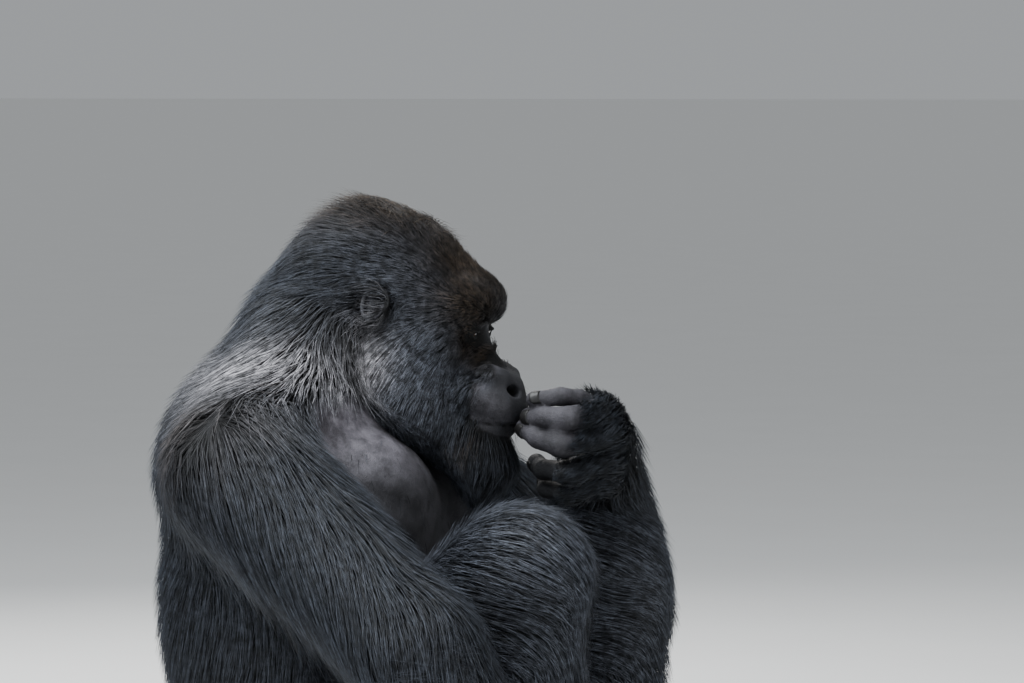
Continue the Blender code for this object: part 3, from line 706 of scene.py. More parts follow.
def mirrorFold(points):
    return np.stack([points[:, 0], np.abs(points[:, 1]), points[:, 2]], axis=1)


def faceBare(local):
    best = np.full(len(local), 9.0)
    for centre, radii in faceSpots:
        best = np.minimum(best, np.linalg.norm((local - centre) / np.array(radii), axis=1))
    return faceBareMost * (1 - smooth(0.82, 1.22, best))


def nearLine(points, stations):
    best = np.full(len(points), 9.0)
    stations = [np.array(station, float) for station in stations]
    for a, b in zip(stations, stations[1:]):
        line = b - a
        t = np.clip((points - a) @ line / (line @ line), 0, 1)
        best = np.minimum(best, np.linalg.norm(points - a - t[:, None] * line, axis=1))
    return best


def nearLimbs(points, start, end):
    return np.minimum(*(nearLine(points, [start[name], end[name]]) for name in sides))


# the bare part of each finger and toe
def digitLines():
    for name, hand in (("left", leftHand), ("right", rightHand)):
        for digit, joints in hand.items():
            if name == "left" and digit in ("ring", "little"):
                yield name + "Hand", [between(joints[1], joints[2], 0.6)] + list(joints[2:])
                continue
            start = {"thumb": 0.75}.get(digit, 0.92) if name == "left" else 0.40
            yield name + "Hand", [between(joints[0], joints[1], start)] + list(joints[1:])
    for name in sides:
        for joints, girth in toes[name]:
            yield name + "Foot", [between(joints[0], joints[1], 0.45)] + list(joints[1:])


down = np.array((0, 0, -1.0))
palmWay = {"leftHand": unit((-0.75, -0.30, -0.25)), "rightHand": down, "leftFoot": down, "rightFoot": down}


def madeFrom(owner, name):
    return owner == clayNames.index(name)


# how far each point is from the skin, the way out of the skin there, and the clay it belongs to
def skinDistance(points):
    value, slope = clays["body"].sample(points)
    owner = np.zeros(len(points), int)
    for k, name in enumerate(clayNames[1:], 1):
        near = clays[name].holds(points)
        if near.any():
            v, g = clays[name].sample(points[near])
            closer = v < value[near]
            index = np.flatnonzero(near)[closer]
            value[index], slope[index], owner[index] = v[closer], g[closer], k
    size = np.maximum(np.linalg.norm(slope, axis=1), 0.3)
    return value / size, slope / np.maximum(np.linalg.norm(slope, axis=1), 1e-6)[:, None], owner


def bareness(points, out, owner):
    bare = np.where(madeFrom(owner, "head"), faceBare(headLocal(points)), 0.0)
    folded = mirrorFold(points)
    for centre, radii in chestSpots:
        chest = 1 - smooth(0.75, 1.15, np.linalg.norm((folded - centre) / np.array(radii), axis=1))
        bare = np.where(madeFrom(owner, "body"), np.maximum(bare, chest * chestBareMost), bare)
    for name, line in digitLines():
        mine = madeFrom(owner, name)
        gap = nearLine(points[mine], line)
        bare[mine] = np.maximum(bare[mine], 1 - smooth(0.019, 0.026, gap))
    for name, way in palmWay.items():
        mine = madeFrom(owner, name)
        bare[mine] = np.maximum(bare[mine], smooth(0.10, 0.45, out[mine] @ way))
    return bare


# how pale the coat or the skin is before the spots are added; the bare chest is painted paler upwards, as
# painted light from above
paleness = {"head": 0.16, "trunk": 0.17, "back": -0.12, "thighs": 0.46, "chest": 0.06, "breast": 1.05,
            "digits": 0.17}


# silver hair and a painted highlight, brown hair and painted shade, pale and bare shares of each point
def marksOf(points, out, owner):
    local = headLocal(points)
    silverAndHighlight = spread(points, silverSpots)
    brownAndShade = np.maximum(spread(local, brownAndShadeSpots), spread(points, shoulderBrown))
    bare = bareness(points, out, owner)
    onHead = madeFrom(owner, "head")
    pale = (paleness["head"] + spread(local, paleSpots)) * onHead * (1 - bare)
    arms, legs = nearLimbs(points, shoulder, elbow), nearLimbs(points, hip, knee)
    trunk = paleness["back"] * smooth(-0.12, -0.24, points[:, 0]) * smooth(0.10, 0.16, arms)
    trunk += paleness["trunk"]
    # painted shade: paleness fades out on the left side of the body, the left arm included
    trunk *= 1 - smooth(0.15, 0.24, points[:, 1])
    trunk += paleness["thighs"] * (1 - smooth(0.09, 0.14, legs)) * smooth(-0.02, 0.08, points[:, 0])
    # painted light: the bare chest gets paler towards the top
    chest = paleness["chest"] + paleness["breast"] * smooth(0.53, 0.72, points[:, 2])
    trunk = trunk * (1 - bare) + chest * bare
    pale = np.where(madeFrom(owner, "body"), trunk, pale)
    # painted highlight: on bare head skin the nose wings get paler and take the silver share, which the skin
    # turns to a bluish gloss; the lips are paler skin
    pale = np.where(onHead, pale + spread(local, wingHighlightAndLipPale) * bare, pale)
    silverAndHighlight = np.where(onHead, silverAndHighlight * (1 - bare) + spread(local, wingHighlightAndLipPale[:1]) * bare ** 3, silverAndHighlight)
    for name in palmWay:
        mine = madeFrom(owner, name)
        if name == "leftHand":
            height = points[mine, 2]
            lower = 0.6 * bare[mine] ** 3 * (1 - smooth(0.578, 0.592, height))    # fingers in shade
            brownAndShade[mine] = np.maximum(brownAndShade[mine], lower)
            # painted light: only the upper side of the left hand's bare fingers is paler
            pale[mine] = paleness["digits"] * bare[mine] * smooth(0.585, 0.600, height)
        else:
            pale[mine] = paleness["digits"] * bare[mine]
    return np.stack([silverAndHighlight, brownAndShade, pale, bare], axis=1)


def unwrap(piece):
    bpy.context.view_layer.objects.active = piece
    piece.select_set(True)
    bpy.ops.object.mode_set(mode="EDIT")
    bpy.ops.mesh.select_all(action="SELECT")
    bpy.ops.uv.smart_project(angle_limit=math.radians(72), island_margin=0.001)
    bpy.ops.object.mode_set(mode="OBJECT")
    piece.select_set(False)


unwrap(skin)
report("unwrapped skin")


def readRows(data, field, width, kind=np.float32):
    values = np.empty(len(data) * width, kind)
    data.foreach_get(field, values)
    return values.reshape(-1, width)


def writeMarks(data, marks):
    layer = data.attributes.new("marks", "FLOAT_COLOR", "POINT")
    layer.data.foreach_set("color", marks.astype(np.float32).ravel())


skinPoints = readRows(skin.data.vertices, "co", 3).astype(float) - shift
gap, out, owner = skinDistance(skinPoints)
skinMarks = marksOf(skinPoints, out, owner)
writeMarks(skin.data, skinMarks)
report("skin marks")


# place on the head, way the hair lies, its length and the coat's depth there
headLie = [
    ((0.124, 0.015, 0.055), (-0.30, 0.10, 0.90), 0.018, 0.009),
    ((0.085, 0.000, 0.066), (-0.90, 0.00, 0.50), 0.026, 0.015),
    ((0.080, 0.045, 0.052), (-0.85, 0.35, 0.35), 0.024, 0.013),
    ((0.000, 0.000, 0.100), (-0.25, 0.00, 1.00), 0.048, 0.036),
    ((0.030, 0.000, 0.090), (-0.40, 0.00, 0.90), 0.036, 0.024),
    ((-0.040, 0.000, 0.100), (-0.50, 0.00, 0.90), 0.054, 0.038),
    ((-0.085, 0.000, 0.095), (-0.80, 0.00, 0.50), 0.052, 0.036),
    ((-0.140, 0.000, 0.030), (-0.60, 0.00, -0.90), 0.065, 0.028),
    ((-0.150, 0.000, -0.060), (-0.50, 0.00, -1.00), 0.075, 0.028),
    ((0.040, 0.072, 0.045), (-0.90, 0.10, 0.15), 0.034, 0.011),
    ((0.030, 0.088, 0.020), (-0.95, 0.10, -0.25), 0.034, 0.012),
    ((-0.040, 0.070, 0.070), (-1.00, 0.10, -0.05), 0.045, 0.020),
    ((-0.010, 0.090, 0.035), (-1.00, 0.05, -0.30), 0.034, 0.013),
    ((-0.060, 0.090, -0.010), (-0.80, 0.00, -0.70), 0.060, 0.022),
    ((-0.020, 0.090, -0.050), (-0.50, 0.00, -0.90), 0.065, 0.020),
    ((0.075, 0.088, -0.020), (-0.55, 0.00, -0.80), 0.020, 0.006),
    ((0.040, 0.090, -0.060), (-0.35, 0.00, -1.00), 0.042, 0.015),
    ((0.030, 0.085, -0.120), (-0.25, 0.00, -1.00), 0.070, 0.038),
    ((0.100, 0.060, -0.110), (0.00, 0.00, -1.00), 0.048, 0.024),
    ((0.150, 0.045, -0.140), (0.25, 0.10, -1.00), 0.066, 0.042),
    ((0.195, 0.000, -0.140), (0.50, 0.00, -1.00), 0.070, 0.050),
    ((0.080, 0.000, -0.170), (0.10, 0.00, -1.00), 0.085, 0.052),
    ((0.040, 0.050, -0.165), (0.00, 0.00, -1.00), 0.085, 0.050),
    ((0.150, 0.000, -0.178), (0.25, 0.00, -1.00), 0.085, 0.058),
    ((0.185, 0.000, -0.165), (0.40, 0.00, -1.00), 0.075, 0.052),
    ((0.024, 0.092, 0.012), (-0.90, 0.20, -0.50), 0.036, 0.018),
    ((-0.005, 0.090, 0.034), (-0.90, 0.10, -0.50), 0.036, 0.017),
    ((0.120, 0.060, -0.060), (-0.35, 0.20, -1.00), 0.018, 0.006),
    ((0.100, 0.050, 0.012), (-0.60, 0.50, -0.10), 0.010, 0.003),
]

# limbs and trunk: the line down the middle, its girth, the way the hair lies, how much it hangs,
# its length and the coat's depth
def hair(line, girth, lie, hang, long, deep):
    return {"line": line, "girth": girth, "lie": lie, "hang": hang, "long": long, "deep": deep}


bodyLie = [
    hair([(-0.12, 0, 0.12), (-0.13, 0, 0.42)], 0.19, (-0.15, 0, -1), 0.3, 0.075, 0.026),
    hair([(-0.13, 0, 0.45), (-0.18, 0, 0.60)], 0.17, (-0.30, 0, -1), 0.3, 0.070, 0.028),
    hair([(0.00, 0, 0.25), (0.00, 0, 0.40)], 0.17, (0.2, 0, -1), 0.3, 0.055, 0.020),
    hair([(-0.140, 0, 0.630), (-0.080, 0, 0.765)], 0.11, (-0.55, 0, -0.85), 0.3, 0.075, 0.026),
]
for name, side in sides.items():
    arm, fore = [shoulder[name], elbow[name]], [elbow[name], wrist[name]]
    thigh, shin = [hip[name], knee[name]], [knee[name], ankle[name]]
    blade = [(-0.150, side * 0.10, 0.62), (-0.120, side * 0.20, 0.60)]
    bodyLie += [
        hair(blade, 0.09, (-0.35, side * 0.45, -0.8), 0.3, 0.080, 0.028),
        hair(arm, 0.078, unit(arm[1] - arm[0]) + (-0.05, 0, -0.35), 0.8, 0.125, 0.028),
        hair(fore, 0.058, unit(fore[0] - fore[1]) + (-0.25, 0, -0.25), 0.7, 0.080, 0.024),
        hair(thigh, 0.100, unit(thigh[1] - thigh[0]) + (0.0, 0, -0.35), 0.6, 0.085, 0.027),
        hair(shin, 0.062, unit(shin[1] - shin[0]) + (-0.25, 0, 0), 0.4, 0.060, 0.020),
    ]
limbBlend = 0.016      # distance over which one limb's coat gives way to the next
placeBlend = 0.012     # the same between the places of headLie
# the hair turns away from a centre on each shoulder and is short on the elbows
whorl = {"centre": np.array((-0.155, -0.285, 0.650)), "reach": 0.09, "pull": 0.8}
rubbed = {"reach": 0.085, "shorter": 0.45}


randomRows = 8192


# a row of a random table for each cell of space
def cellKey(cell):
    return (cell[:, 0] * 73856093 ^ cell[:, 1] * 19349663 ^ cell[:, 2] * 83492791) % randomRows


# smooth random vectors that change over about the given size
def drift(points, size, seed):
    table = np.random.default_rng(seed).uniform(-1, 1, (randomRows, 3))
    q = points / size
    base = np.floor(q).astype(np.int64)
    f = q - base
    f = f * f * (3 - 2 * f)
    total = np.zeros((len(points), 3))
    for a in (0, 1):
        for b in (0, 1):
            for c in (0, 1):
                key = cellKey(base + (a, b, c))
                weight = ((f[:, 0] if a else 1 - f[:, 0]) * (f[:, 1] if b else 1 - f[:, 1])
                          * (f[:, 2] if c else 1 - f[:, 2]))
                total += table[key] * weight[:, None]
    return total


# the nearest of the centres that the locks gather to
def clumpCentre(points, size, seed):
    table = np.random.default_rng(seed).uniform(0, 1, (randomRows, 3))
    cell = np.floor(points / size).astype(np.int64)
    nearest, best = np.full(len(points), 9.0), points.copy()
    for a in (-1, 0, 1):
        for b in (-1, 0, 1):
            for c in (-1, 0, 1):
                there = cell + (a, b, c)
                centre = (there + table[cellKey(there)]) * size
                away = np.linalg.norm(points - centre, axis=1)
                closer = away < nearest
                nearest[closer], best[closer] = away[closer], centre[closer]
    return best


# length, depth and hang of the coat on the hands and feet
shortHair = {"Hand": (0.036, 0.013, 0.2), "Foot": (0.024, 0.007, 0.2)}


# the way the hair lies at each point, its length, the coat's depth, and how much it hangs
def coatAt(points, owner, bare):
    n = len(points)
    lie, long, deep, hang = np.zeros((n, 3)), np.zeros(n), np.zeros(n), np.zeros(n)
    # limbs and trunk
    weights = np.zeros(n)
    for part in bodyLie:
        line = [np.array(p, float) for p in part["line"]]
        w = np.exp(-np.maximum(nearLine(points, line) - part["girth"], 0) / limbBlend) + 1e-9
        weights += w
        lie += unit(part["lie"]) * w[:, None]
        long += part["long"] * w
        deep += part["deep"] * w
        hang += part["hang"] * w
    lie, long, deep, hang = lie / weights[:, None], long / weights, deep / weights, hang / weights
    for side in (1, -1):
        away = points - whorl["centre"] * (1, side, 1)
        pull = np.exp(-(np.linalg.norm(away, axis=1) / whorl["reach"]) ** 2) * whorl["pull"]
        lie += unit(away) * pull[:, None]
    for name in sides:
        away = np.linalg.norm(points - elbow[name], axis=1)
        long *= 1 - rubbed["shorter"] * np.exp(-(away / rubbed["reach"]) ** 2)
    # head
    mine = madeFrom(owner, "head")
    local = headLocal(points[mine])
    folded = mirrorFold(local)
    total, way, size, depth = 0, 0, 0, 0
    for place, toward, length, thick in headLie:
        w = 1 / (((folded - place) ** 2).sum(axis=1) + placeBlend ** 2) ** 2
        total = total + w
        way = way + unit(toward) * w[:, None]
        size = size + length * w
        depth = depth + thick * w
    way = way / total[:, None]
    way[:, 1] *= np.sign(local[:, 1])
    lie[mine] = way @ headTurn.T
    long[mine], deep[mine], hang[mine] = size / total, depth / total, 0.15
    # hands and feet
    for name in sides:
        hand = {"left": leftHand, "right": rightHand}[name]
        for kind, joints in (("Hand", (wrist[name], hand["middle"][1])),
                             ("Foot", (ankle[name] * (1, 1, 0.4), toes[name][1][0][2]))):
            mine = madeFrom(owner, name + kind)
            lie[mine] = unit(joints[1] - joints[0])
            long[mine], deep[mine], hang[mine] = shortHair[kind]
    soft = 1 - 0.75 * bare
    return unit(lie), long * soft, deep * soft, hang


skin.data.calc_loop_triangles()
corners = readRows(skin.data.loop_triangles, "vertices", 3, np.int32)
loops = readRows(skin.data.loop_triangles, "loops", 3, np.int32)
uvs = readRows(skin.data.uv_layers.active.data, "uv", 2)
a, b, c = (skinPoints[corners[:, k]] for k in range(3))
areas = np.linalg.norm(np.cross(b - a, c - a), axis=1) / 2
faceBareness = skinMarks[corners, 3].mean(axis=1)
faceOwner = owner[corners[:, 0]]
faceCentre = (a + b + c) / 3
faceOut = unit(np.cross(b - a, c - a))

# number of locks, steps in growing one, which steps have a ring, width, and how they are gathered
coatKinds = {
    "head": {"owners": ("head",), "locks": 53000, "steps": 4, "rings": (0, 2), "wide": 0.00115,
             "clump": 0.012, "gather": 0.50, "wave": 0.0008, "drift": 0.24, "stray": 0.11, "seed": 11,
             "facet": 0.85},
    "body": {"owners": ("body",), "locks": 84000, "steps": 5, "rings": (0, 2), "wide": 0.0017,
             "clump": 0.022, "gather": 0.44, "wave": 0.0020, "drift": 0.22, "stray": 0.06, "seed": 12,
             "facet": 0.62},
    "limbs": {"owners": ("leftHand", "rightHand", "leftFoot", "rightFoot"), "locks": 12000, "steps": 4,
              "rings": (0, 2), "wide": 0.0014, "clump": 0.009, "gather": 0.4, "wave": 0.0006,
              "drift": 0.2, "stray": 0.10, "seed": 13, "facet": 0.6},
}
floorClear = 0.004        # no lock starts lower than this
shelterReach = 0.045      # locks are fewer where other skin is closer than this
rootDepth = 0.0012        # how far a lock starts inside the skin
mostTriangles = 185000    # in one piece of the coat


# where the locks start on the skin, and the same places on its flat map
def pickRoots(kind, s, rng):
    mine = np.isin(faceOwner, [clayNames.index(name) for name in s["owners"]])
    clear = np.clip(1.02 - faceBareness, 0, 1) ** np.where(madeFrom(faceOwner, "body"), 2.7, 2)
    density = areas * mine * clear * (faceCentre[:, 2] > floorClear)
    if kind == "head":
        density *= 1 + 1.6 * smooth(0.00, 0.09, headLocal(faceCentre)[:, 0])
    density[madeFrom(faceOwner, "leftHand")] *= 2.5
    shelter, _, _ = skinDistance(faceCentre[mine] + faceOut[mine] * shelterReach)
    density[mine] *= 0.30 + 0.70 * smooth(0.000, 0.030, shelter)
    total = np.cumsum(density)
    picks = (np.arange(s["locks"]) + rng.random(s["locks"])) / s["locks"] * total[-1]
    face = np.searchsorted(total, picks)
    u, v = rng.random((2, len(face)))
    flip = u + v > 1
    u, v = np.where(flip, 1 - u, u), np.where(flip, 1 - v, v)
    mix = np.stack([1 - u - v, u, v], axis=1)[:, :, None]
    root = (skinPoints[corners[face]] * mix).sum(axis=1)
    return root, (uvs[loops[face]] * mix).sum(axis=1)


# the middle line of each lock: it lies along the skin, rises to the coat's depth and hangs
def growLocks(kind, s):      # s holds the settings of this kind
    rng = np.random.default_rng(s["seed"])
    root, rootUv = pickRoots(kind, s, rng)
    gap, out, own = skinDistance(root)
    marks = marksOf(root, out, own)
    lie, long, deep, hang = coatAt(root, own, marks[:, 3])
    local = headLocal(root)
    crest = smooth(0.070, 0.095, local[:, 2]) * smooth(0.06, 0.02, local[:, 0]) * (kind == "head")
    ruffle = s["stray"] + 0.14 * marks[:, 1] + 0.16 * crest
    lie = lie + drift(root, 0.030, s["seed"] + 1) * s["drift"]
    lie = lie + drift(root, 0.014, s["seed"] + 4) * (0.5 * crest)[:, None]
    lie = unit(lie + rng.normal(0, 1, root.shape) * ruffle[:, None])
    long = long * (0.66 + 0.54 * rng.random(len(long))) * (1 + 0.18 * drift(root, 0.05, s["seed"] + 2)[:, 0])
    height = deep * rng.uniform(0.55, 1.12, len(deep)) * (1 + 0.35 * crest * rng.random(len(deep)))
    under = np.clip(-out[:, 2] + 0.15, 0, 1) * hang
    step = (long / s["steps"])[:, None]
    place, up = root - out * rootDepth, out
    path, ups = [place], [out]
    for k in range(1, s["steps"] + 1):
        t = k / s["steps"]
        way = lie + down * (hang * t * 0.8)[:, None]
        flat = way - up * (way * up).sum(axis=1, keepdims=True)
        free = np.clip(under * 1.2, 0, 0.9)[:, None]
        way = unit(unit(flat) * (1 - free) + unit(way) * free)
        place = place + way * step
        h, up, _ = skinDistance(place)
        want = height * min(1.0, (t * 1.15) ** 0.75)
        lift = want - h
        lift = np.where(lift < 0, lift * (1 - free[:, 0]), lift)
        place = place + up * np.clip(lift, -0.8 * step[:, 0], 0.8 * step[:, 0])[:, None]
        path.append(place)
        ups.append(up)
    path, ups = np.stack(path, axis=1), np.stack(ups, axis=1)
    t = np.linspace(0, 1, s["steps"] + 1)[None, :, None]
    pull = clumpCentre(root, s["clump"], s["seed"] + 3) - root
    pull -= out * (pull * out).sum(axis=1, keepdims=True)
    pull *= np.minimum(1, s["clump"] * 0.75 / np.maximum(np.linalg.norm(pull, axis=1), 1e-6))[:, None]
    path += pull[:, None, :] * t ** 1.2 * s["gather"] * rng.uniform(0.5, 1.3, (len(root), 1, 1))
    along = unit(np.gradient(path, axis=1))
    aside = unit(np.cross(ups, along))
    phase = rng.uniform(0, 6.28, (len(root), 1, 1))
    path += aside * np.sin(phase + t * 7) * s["wave"] * t
    return path, along, aside, ups, rootUv, marks, rng


# the triangles of one lock: a closed root, a tube with three sides, and a point
def lockFaces(rings):
    faces = [(0, 2, 1)]
    for r in range(rings - 1):
        for k in range(3):
            p, q = 3 * r + k, 3 * r + (k + 1) % 3
            faces += [(p, q, q + 3), (p, q + 3, p + 3)]
    last = 3 * (rings - 1)
    return np.array(faces + [(last + k, last + (k + 1) % 3, last + 3) for k in range(3)])


def buildCoat(kind, s):
    path, along, aside, ups, rootUv, marks, rng = growLocks(kind, s)
    n, rings = len(path), list(s["rings"])
    low, high = np.array(cadBox[0]) - shift + 0.001, np.array(cadBox[1]) - shift - 0.001
    share = np.array(rings) / s["steps"]
    wide = s["wide"] * (0.65 + 0.35 * np.sin(np.pi * np.clip(share * 0.9 + 0.22, 0, 1))) * (1 - 0.35 * share)
    wide = wide[None, :, None] * rng.uniform(0.75, 1.3, (n, 1, 1))
    wide = wide * (1 - 0.62 * marks[:, 3])[:, None, None]
    centre, side, way = path[:, rings], aside[:, rings], along[:, rings]
    top = unit(np.cross(way, side))
    ring = np.stack([centre + side * wide / 2, centre + top * wide * 0.42, centre - side * wide / 2], axis=2)
    points = np.concatenate([ring.reshape(n, -1, 3), path[:, -1:]], axis=1)
    # shading leans towards the skin's outward direction, so the coat reads soft
    own = np.stack([side * 0.9 + top * 0.3, top, top * 0.3 - side * 0.9], axis=2).reshape(n, -1, 3)
    own = np.concatenate([own, top[:, -1:]], axis=1)
    lean = np.concatenate([np.repeat(ups[:, rings], 3, axis=1), ups[:, -1:]], axis=1)
    facet = s["facet"] * (1 - 0.45 * np.clip(marks[:, :1], 0, 1))[:, :, None]
    normals = unit(own * facet + lean * (1 - facet))
    margin = (high - low) * 0.02
    points = np.clip(points, np.maximum(low - margin, (-9, -9, 0.0012)), high + margin)
    size = points.shape[1]
    faces = lockFaces(len(rings))
    acrossRing = np.concatenate([np.tile((1.0, 0.0, -1.0), len(rings)), [0.0]])
    alongRing = np.concatenate([np.repeat(share, 3), [1.0]])
    seed = rng.random(n)
    # pieces of the coat, each a run of locks from one region
    place = path[:, 0]
    parts = math.ceil(n / int(mostTriangles / len(faces)))
    order = place[:, 0]
    if parts > 1:
        order = np.arctan2(place[:, 1], place[:, 0] - place[:, 0].mean())
    for number, chosen in enumerate(np.array_split(np.argsort(order), parts), 1):
        m = len(chosen)
        index = (np.arange(m) * size)[:, None, None] + faces[None]
        name = f"coat_{kind}_{number}" if parts > 1 else f"coat_{kind}"
        piece = meshObject(name, points[chosen].reshape(-1, 3) + shift, index.reshape(-1, 3))
        piece.data.normals_split_custom_set_from_vertices(normals[chosen].reshape(-1, 3).tolist())
        strand = np.stack([np.tile(acrossRing, m), np.tile(alongRing, m), np.repeat(seed[chosen], size)],
                          axis=1)
        piece.data.attributes.new("strand", "FLOAT_VECTOR", "POINT").data.foreach_set(
            "vector", strand.astype(np.float32).ravel())
        writeMarks(piece.data, np.repeat(marks[chosen], size, axis=0))
        layer = piece.data.uv_layers.new(name="OFBake")
        patch = np.stack([strand[:, 0] * 0.0012, (strand[:, 1] - 0.5) * 0.0028], axis=1)
        patch += np.repeat(rootUv[chosen], size, axis=0)
        layer.data.foreach_set("uv", np.clip(patch, 0, 1)[index.ravel()].astype(np.float32).ravel())
        piece.data.materials.append(coatLook)
        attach(piece, "root")
    report(f"coat on the {kind}: {n} locks, {n * len(faces)} triangles, {parts} pieces")


# one socket of a material, with maths on it
class Wire:
    def __init__(self, tree, socket):
        self.tree, self.socket = tree, socket

    def node(self, kind, settings=None, values=None, out=0):
        made = self.tree.nodes.new(kind)
        for name, value in (settings or {}).items():
            setattr(made, name, value)
        for name, value in (values or {}).items():
            if isinstance(value, Wire):
                self.tree.links.new(value.socket, made.inputs[name])
            else:
                made.inputs[name].default_value = value
        return Wire(self.tree, made.outputs[out])

    def maths(self, what, *others, clamp=False):
        return self.node("ShaderNodeMath", {"operation": what, "use_clamp": clamp},
                         dict(enumerate((self, *others))))

    def __add__(self, other):
        return self.maths("ADD", other)

    def __sub__(self, other):
        return self.maths("SUBTRACT", other)

    def __mul__(self, other):
        return self.maths("MULTIPLY", other)

    def __pow__(self, other):
        return self.maths("POWER", other)

    def __rsub__(self, other):
        return self.maths("MULTIPLY", -1.0).maths("ADD", other)

    __radd__, __rmul__ = __add__, __mul__

    def clamp(self):
        return self.maths("ADD", 0.0, clamp=True)

    def ramp(self, low, high):
        return self.node("ShaderNodeMapRange", {"interpolation_type": "SMOOTHSTEP"},
                         {"Value": self, "From Min": low, "From Max": high})

    def mix(self, first, second):
        values = {6: first, 7: second, 0: self}
        return self.node("ShaderNodeMix", {"data_type": "RGBA"}, values, 2)


def colour(r, g, b):
    return (r, g, b, 1.0)


def attribute(start, name, out):
    return start.node("ShaderNodeAttribute", {"attribute_name": name}, out=out)


# the three colour parts of the markings
def markWires(start):
    marks = attribute(start, "marks", 0)
    return [start.node("ShaderNodeSeparateColor", values={"Color": marks}, out=k) for k in (0, 1, 2)]


def noise(spot, scale, detail, **others):
    values = {"Vector": spot, "Scale": scale, "Detail": detail}
    return spot.node("ShaderNodeTexNoise", values={**values, **others})


def bump(height, strength, distance):
    values = {"Strength": strength, "Distance": distance, "Height": height}
    return height.node("ShaderNodeBump", values=values)


def dimmed(shade, light):
    return shade.node("ShaderNodeVectorMath", {"operation": "SCALE"}, {"Vector": shade, "Scale": light})


# a mix of the two colours of a tone
def toned(share, tone):
    return share.mix(colour(*tone[0]), colour(*tone[1]))


def newLook(name, **fixed):
    made = bpy.data.materials.new(name)
    made.use_nodes = True
    shader = made.node_tree.nodes["Principled BSDF"]
    for key, value in fixed.items():
        shader.inputs[key.replace("_", " ")].default_value = value
    start = Wire(made.node_tree, None)

    def connect(key, wire):
        made.node_tree.links.new(wire.socket, shader.inputs[key])
    return made, start, connect


# colours at the root and at the tip of a lock; the darker roots are painted shade between the locks, and the
# pale bluish tips are partly the hair's tone and partly painted sheen
coatTones = {
    "black": ((0.003, 0.003, 0.004), (0.021, 0.025, 0.033)),
    "bluishAndSheen": ((0.006, 0.007, 0.009), (0.086, 0.094, 0.116)),
    "brownAndShade": ((0.004, 0.003, 0.002), (0.046, 0.033, 0.023)),
    "silverAndHighlight": ((0.120, 0.115, 0.120), (0.38, 0.367, 0.386)),
}


def coatMaterial():
    made, start, connect = newLook("coat", Specular_IOR_Level=0.20)
    strand = attribute(start, "strand", 1)
    acrossStrand, alongStrand, seed = (
        start.node("ShaderNodeSeparateXYZ", values={"Vector": strand}, out=k) for k in (0, 1, 2))
    silverAndHighlight, brownAndShade, pale = markWires(start)
    lengthwise = start.node("ShaderNodeCombineXYZ", values={
        "X": acrossStrand * 2.2 + seed * 53.0, "Y": alongStrand * 1.6, "Z": seed * 91.0})
    streak = noise(lengthwise, 2.4, 3.0)
    tone = seed.maths("MULTIPLY", 17.31).maths("FRACT")
    # painted shade: each lock darkens towards its root
    tip = alongStrand ** 1.2
    black, bluishAndSheen, warm, grey = (toned(tip, pair) for pair in coatTones.values())
    shade = pale.mix(black, bluishAndSheen)
    shade = (brownAndShade * (0.6 + tone * 0.8)).clamp().mix(shade, warm)
    shade = (silverAndHighlight * (0.75 + tone * 0.5)).clamp().mix(shade, grey)
    light = (0.60 + streak * 0.6) * (0.30 + tone * 1.30)
    light = silverAndHighlight.mix(light, 0.50 + light * 0.50)
    spot = start.node("ShaderNodeTexCoord", out=3)
    patch = noise(spot, 90.0, 4.0, Roughness=0.7)
    light = light * (0.40 + patch.ramp(0.36, 0.64) * 1.20)
    connect("Base Color", dimmed(shade, light))
    connect("Roughness", 0.48 + streak * 0.18)
    connect("Normal", bump(streak, 0.5, 0.0006))
    return made


skinTones = {
    "dark": ((0.009, 0.009, 0.010), (0.030, 0.031, 0.036)),
    "pale": ((0.070, 0.063, 0.074), (0.240, 0.222, 0.255)),
    "wingHighlight": (0.170, 0.190, 0.232),
    "underCoat": (0.008, 0.008, 0.009),
    "hollow": (0.003, 0.003, 0.003),
}


def skinMaterial():
    made, start, connect = newLook("skin", Specular_IOR_Level=0.20)
    wingHighlight, hollow, pale = markWires(start)
    bare = attribute(start, "marks", 3)
    spot = start.node("ShaderNodeTexCoord", out=3)
    broad = noise(spot, 34.0, 6.0, Roughness=0.62)
    fine = noise(spot, 420.0, 5.0, Roughness=0.65)
    cells = start.node("ShaderNodeTexVoronoi", {"feature": "DISTANCE_TO_EDGE"},
                       {"Vector": spot, "Scale": 560.0})
    leather = cells.ramp(0.0, 0.22)
    folds = noise(spot, 150.0, 3.0, Distortion=1.2)
    dark = toned(broad, skinTones["dark"])
    paler = toned(broad.ramp(0.34, 0.66), skinTones["pale"])
    # painted highlight on the nose wings, carried by the silver share
    shade = wingHighlight.mix(pale.mix(dark, paler), colour(*skinTones["wingHighlight"]))
    shade = bare.ramp(0.15, 0.8).mix(colour(*skinTones["underCoat"]), shade)
    # painted shade: the brown share turns the skin near-black in the eye sockets, nostrils, ears, mouth and
    # the shaded fingers
    shade = hollow.ramp(0.3, 0.9).mix(shade, colour(*skinTones["hollow"]))
    light = 0.50 + fine * 0.50 + leather * 0.12 + folds * 0.26
    connect("Base Color", dimmed(shade, light))
    connect("Roughness", 0.48 + fine * 0.20 + hollow * 0.2)
    connect("Normal", bump(leather * 0.22 + fine * 0.7 + folds * 1.1, 0.80, 0.0013))
    return made


coatLook = coatMaterial()
skinLook = skinMaterial()
skin.data.materials.clear()
skin.data.materials.append(skinLook)
skin.data.polygons.foreach_set("material_index", np.zeros(len(skin.data.polygons), np.int32))
flesh = [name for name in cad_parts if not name.endswith("_eye")]
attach(skin, "root")
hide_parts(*flesh)

for kind, settings in coatKinds.items():
    buildCoat(kind, settings)


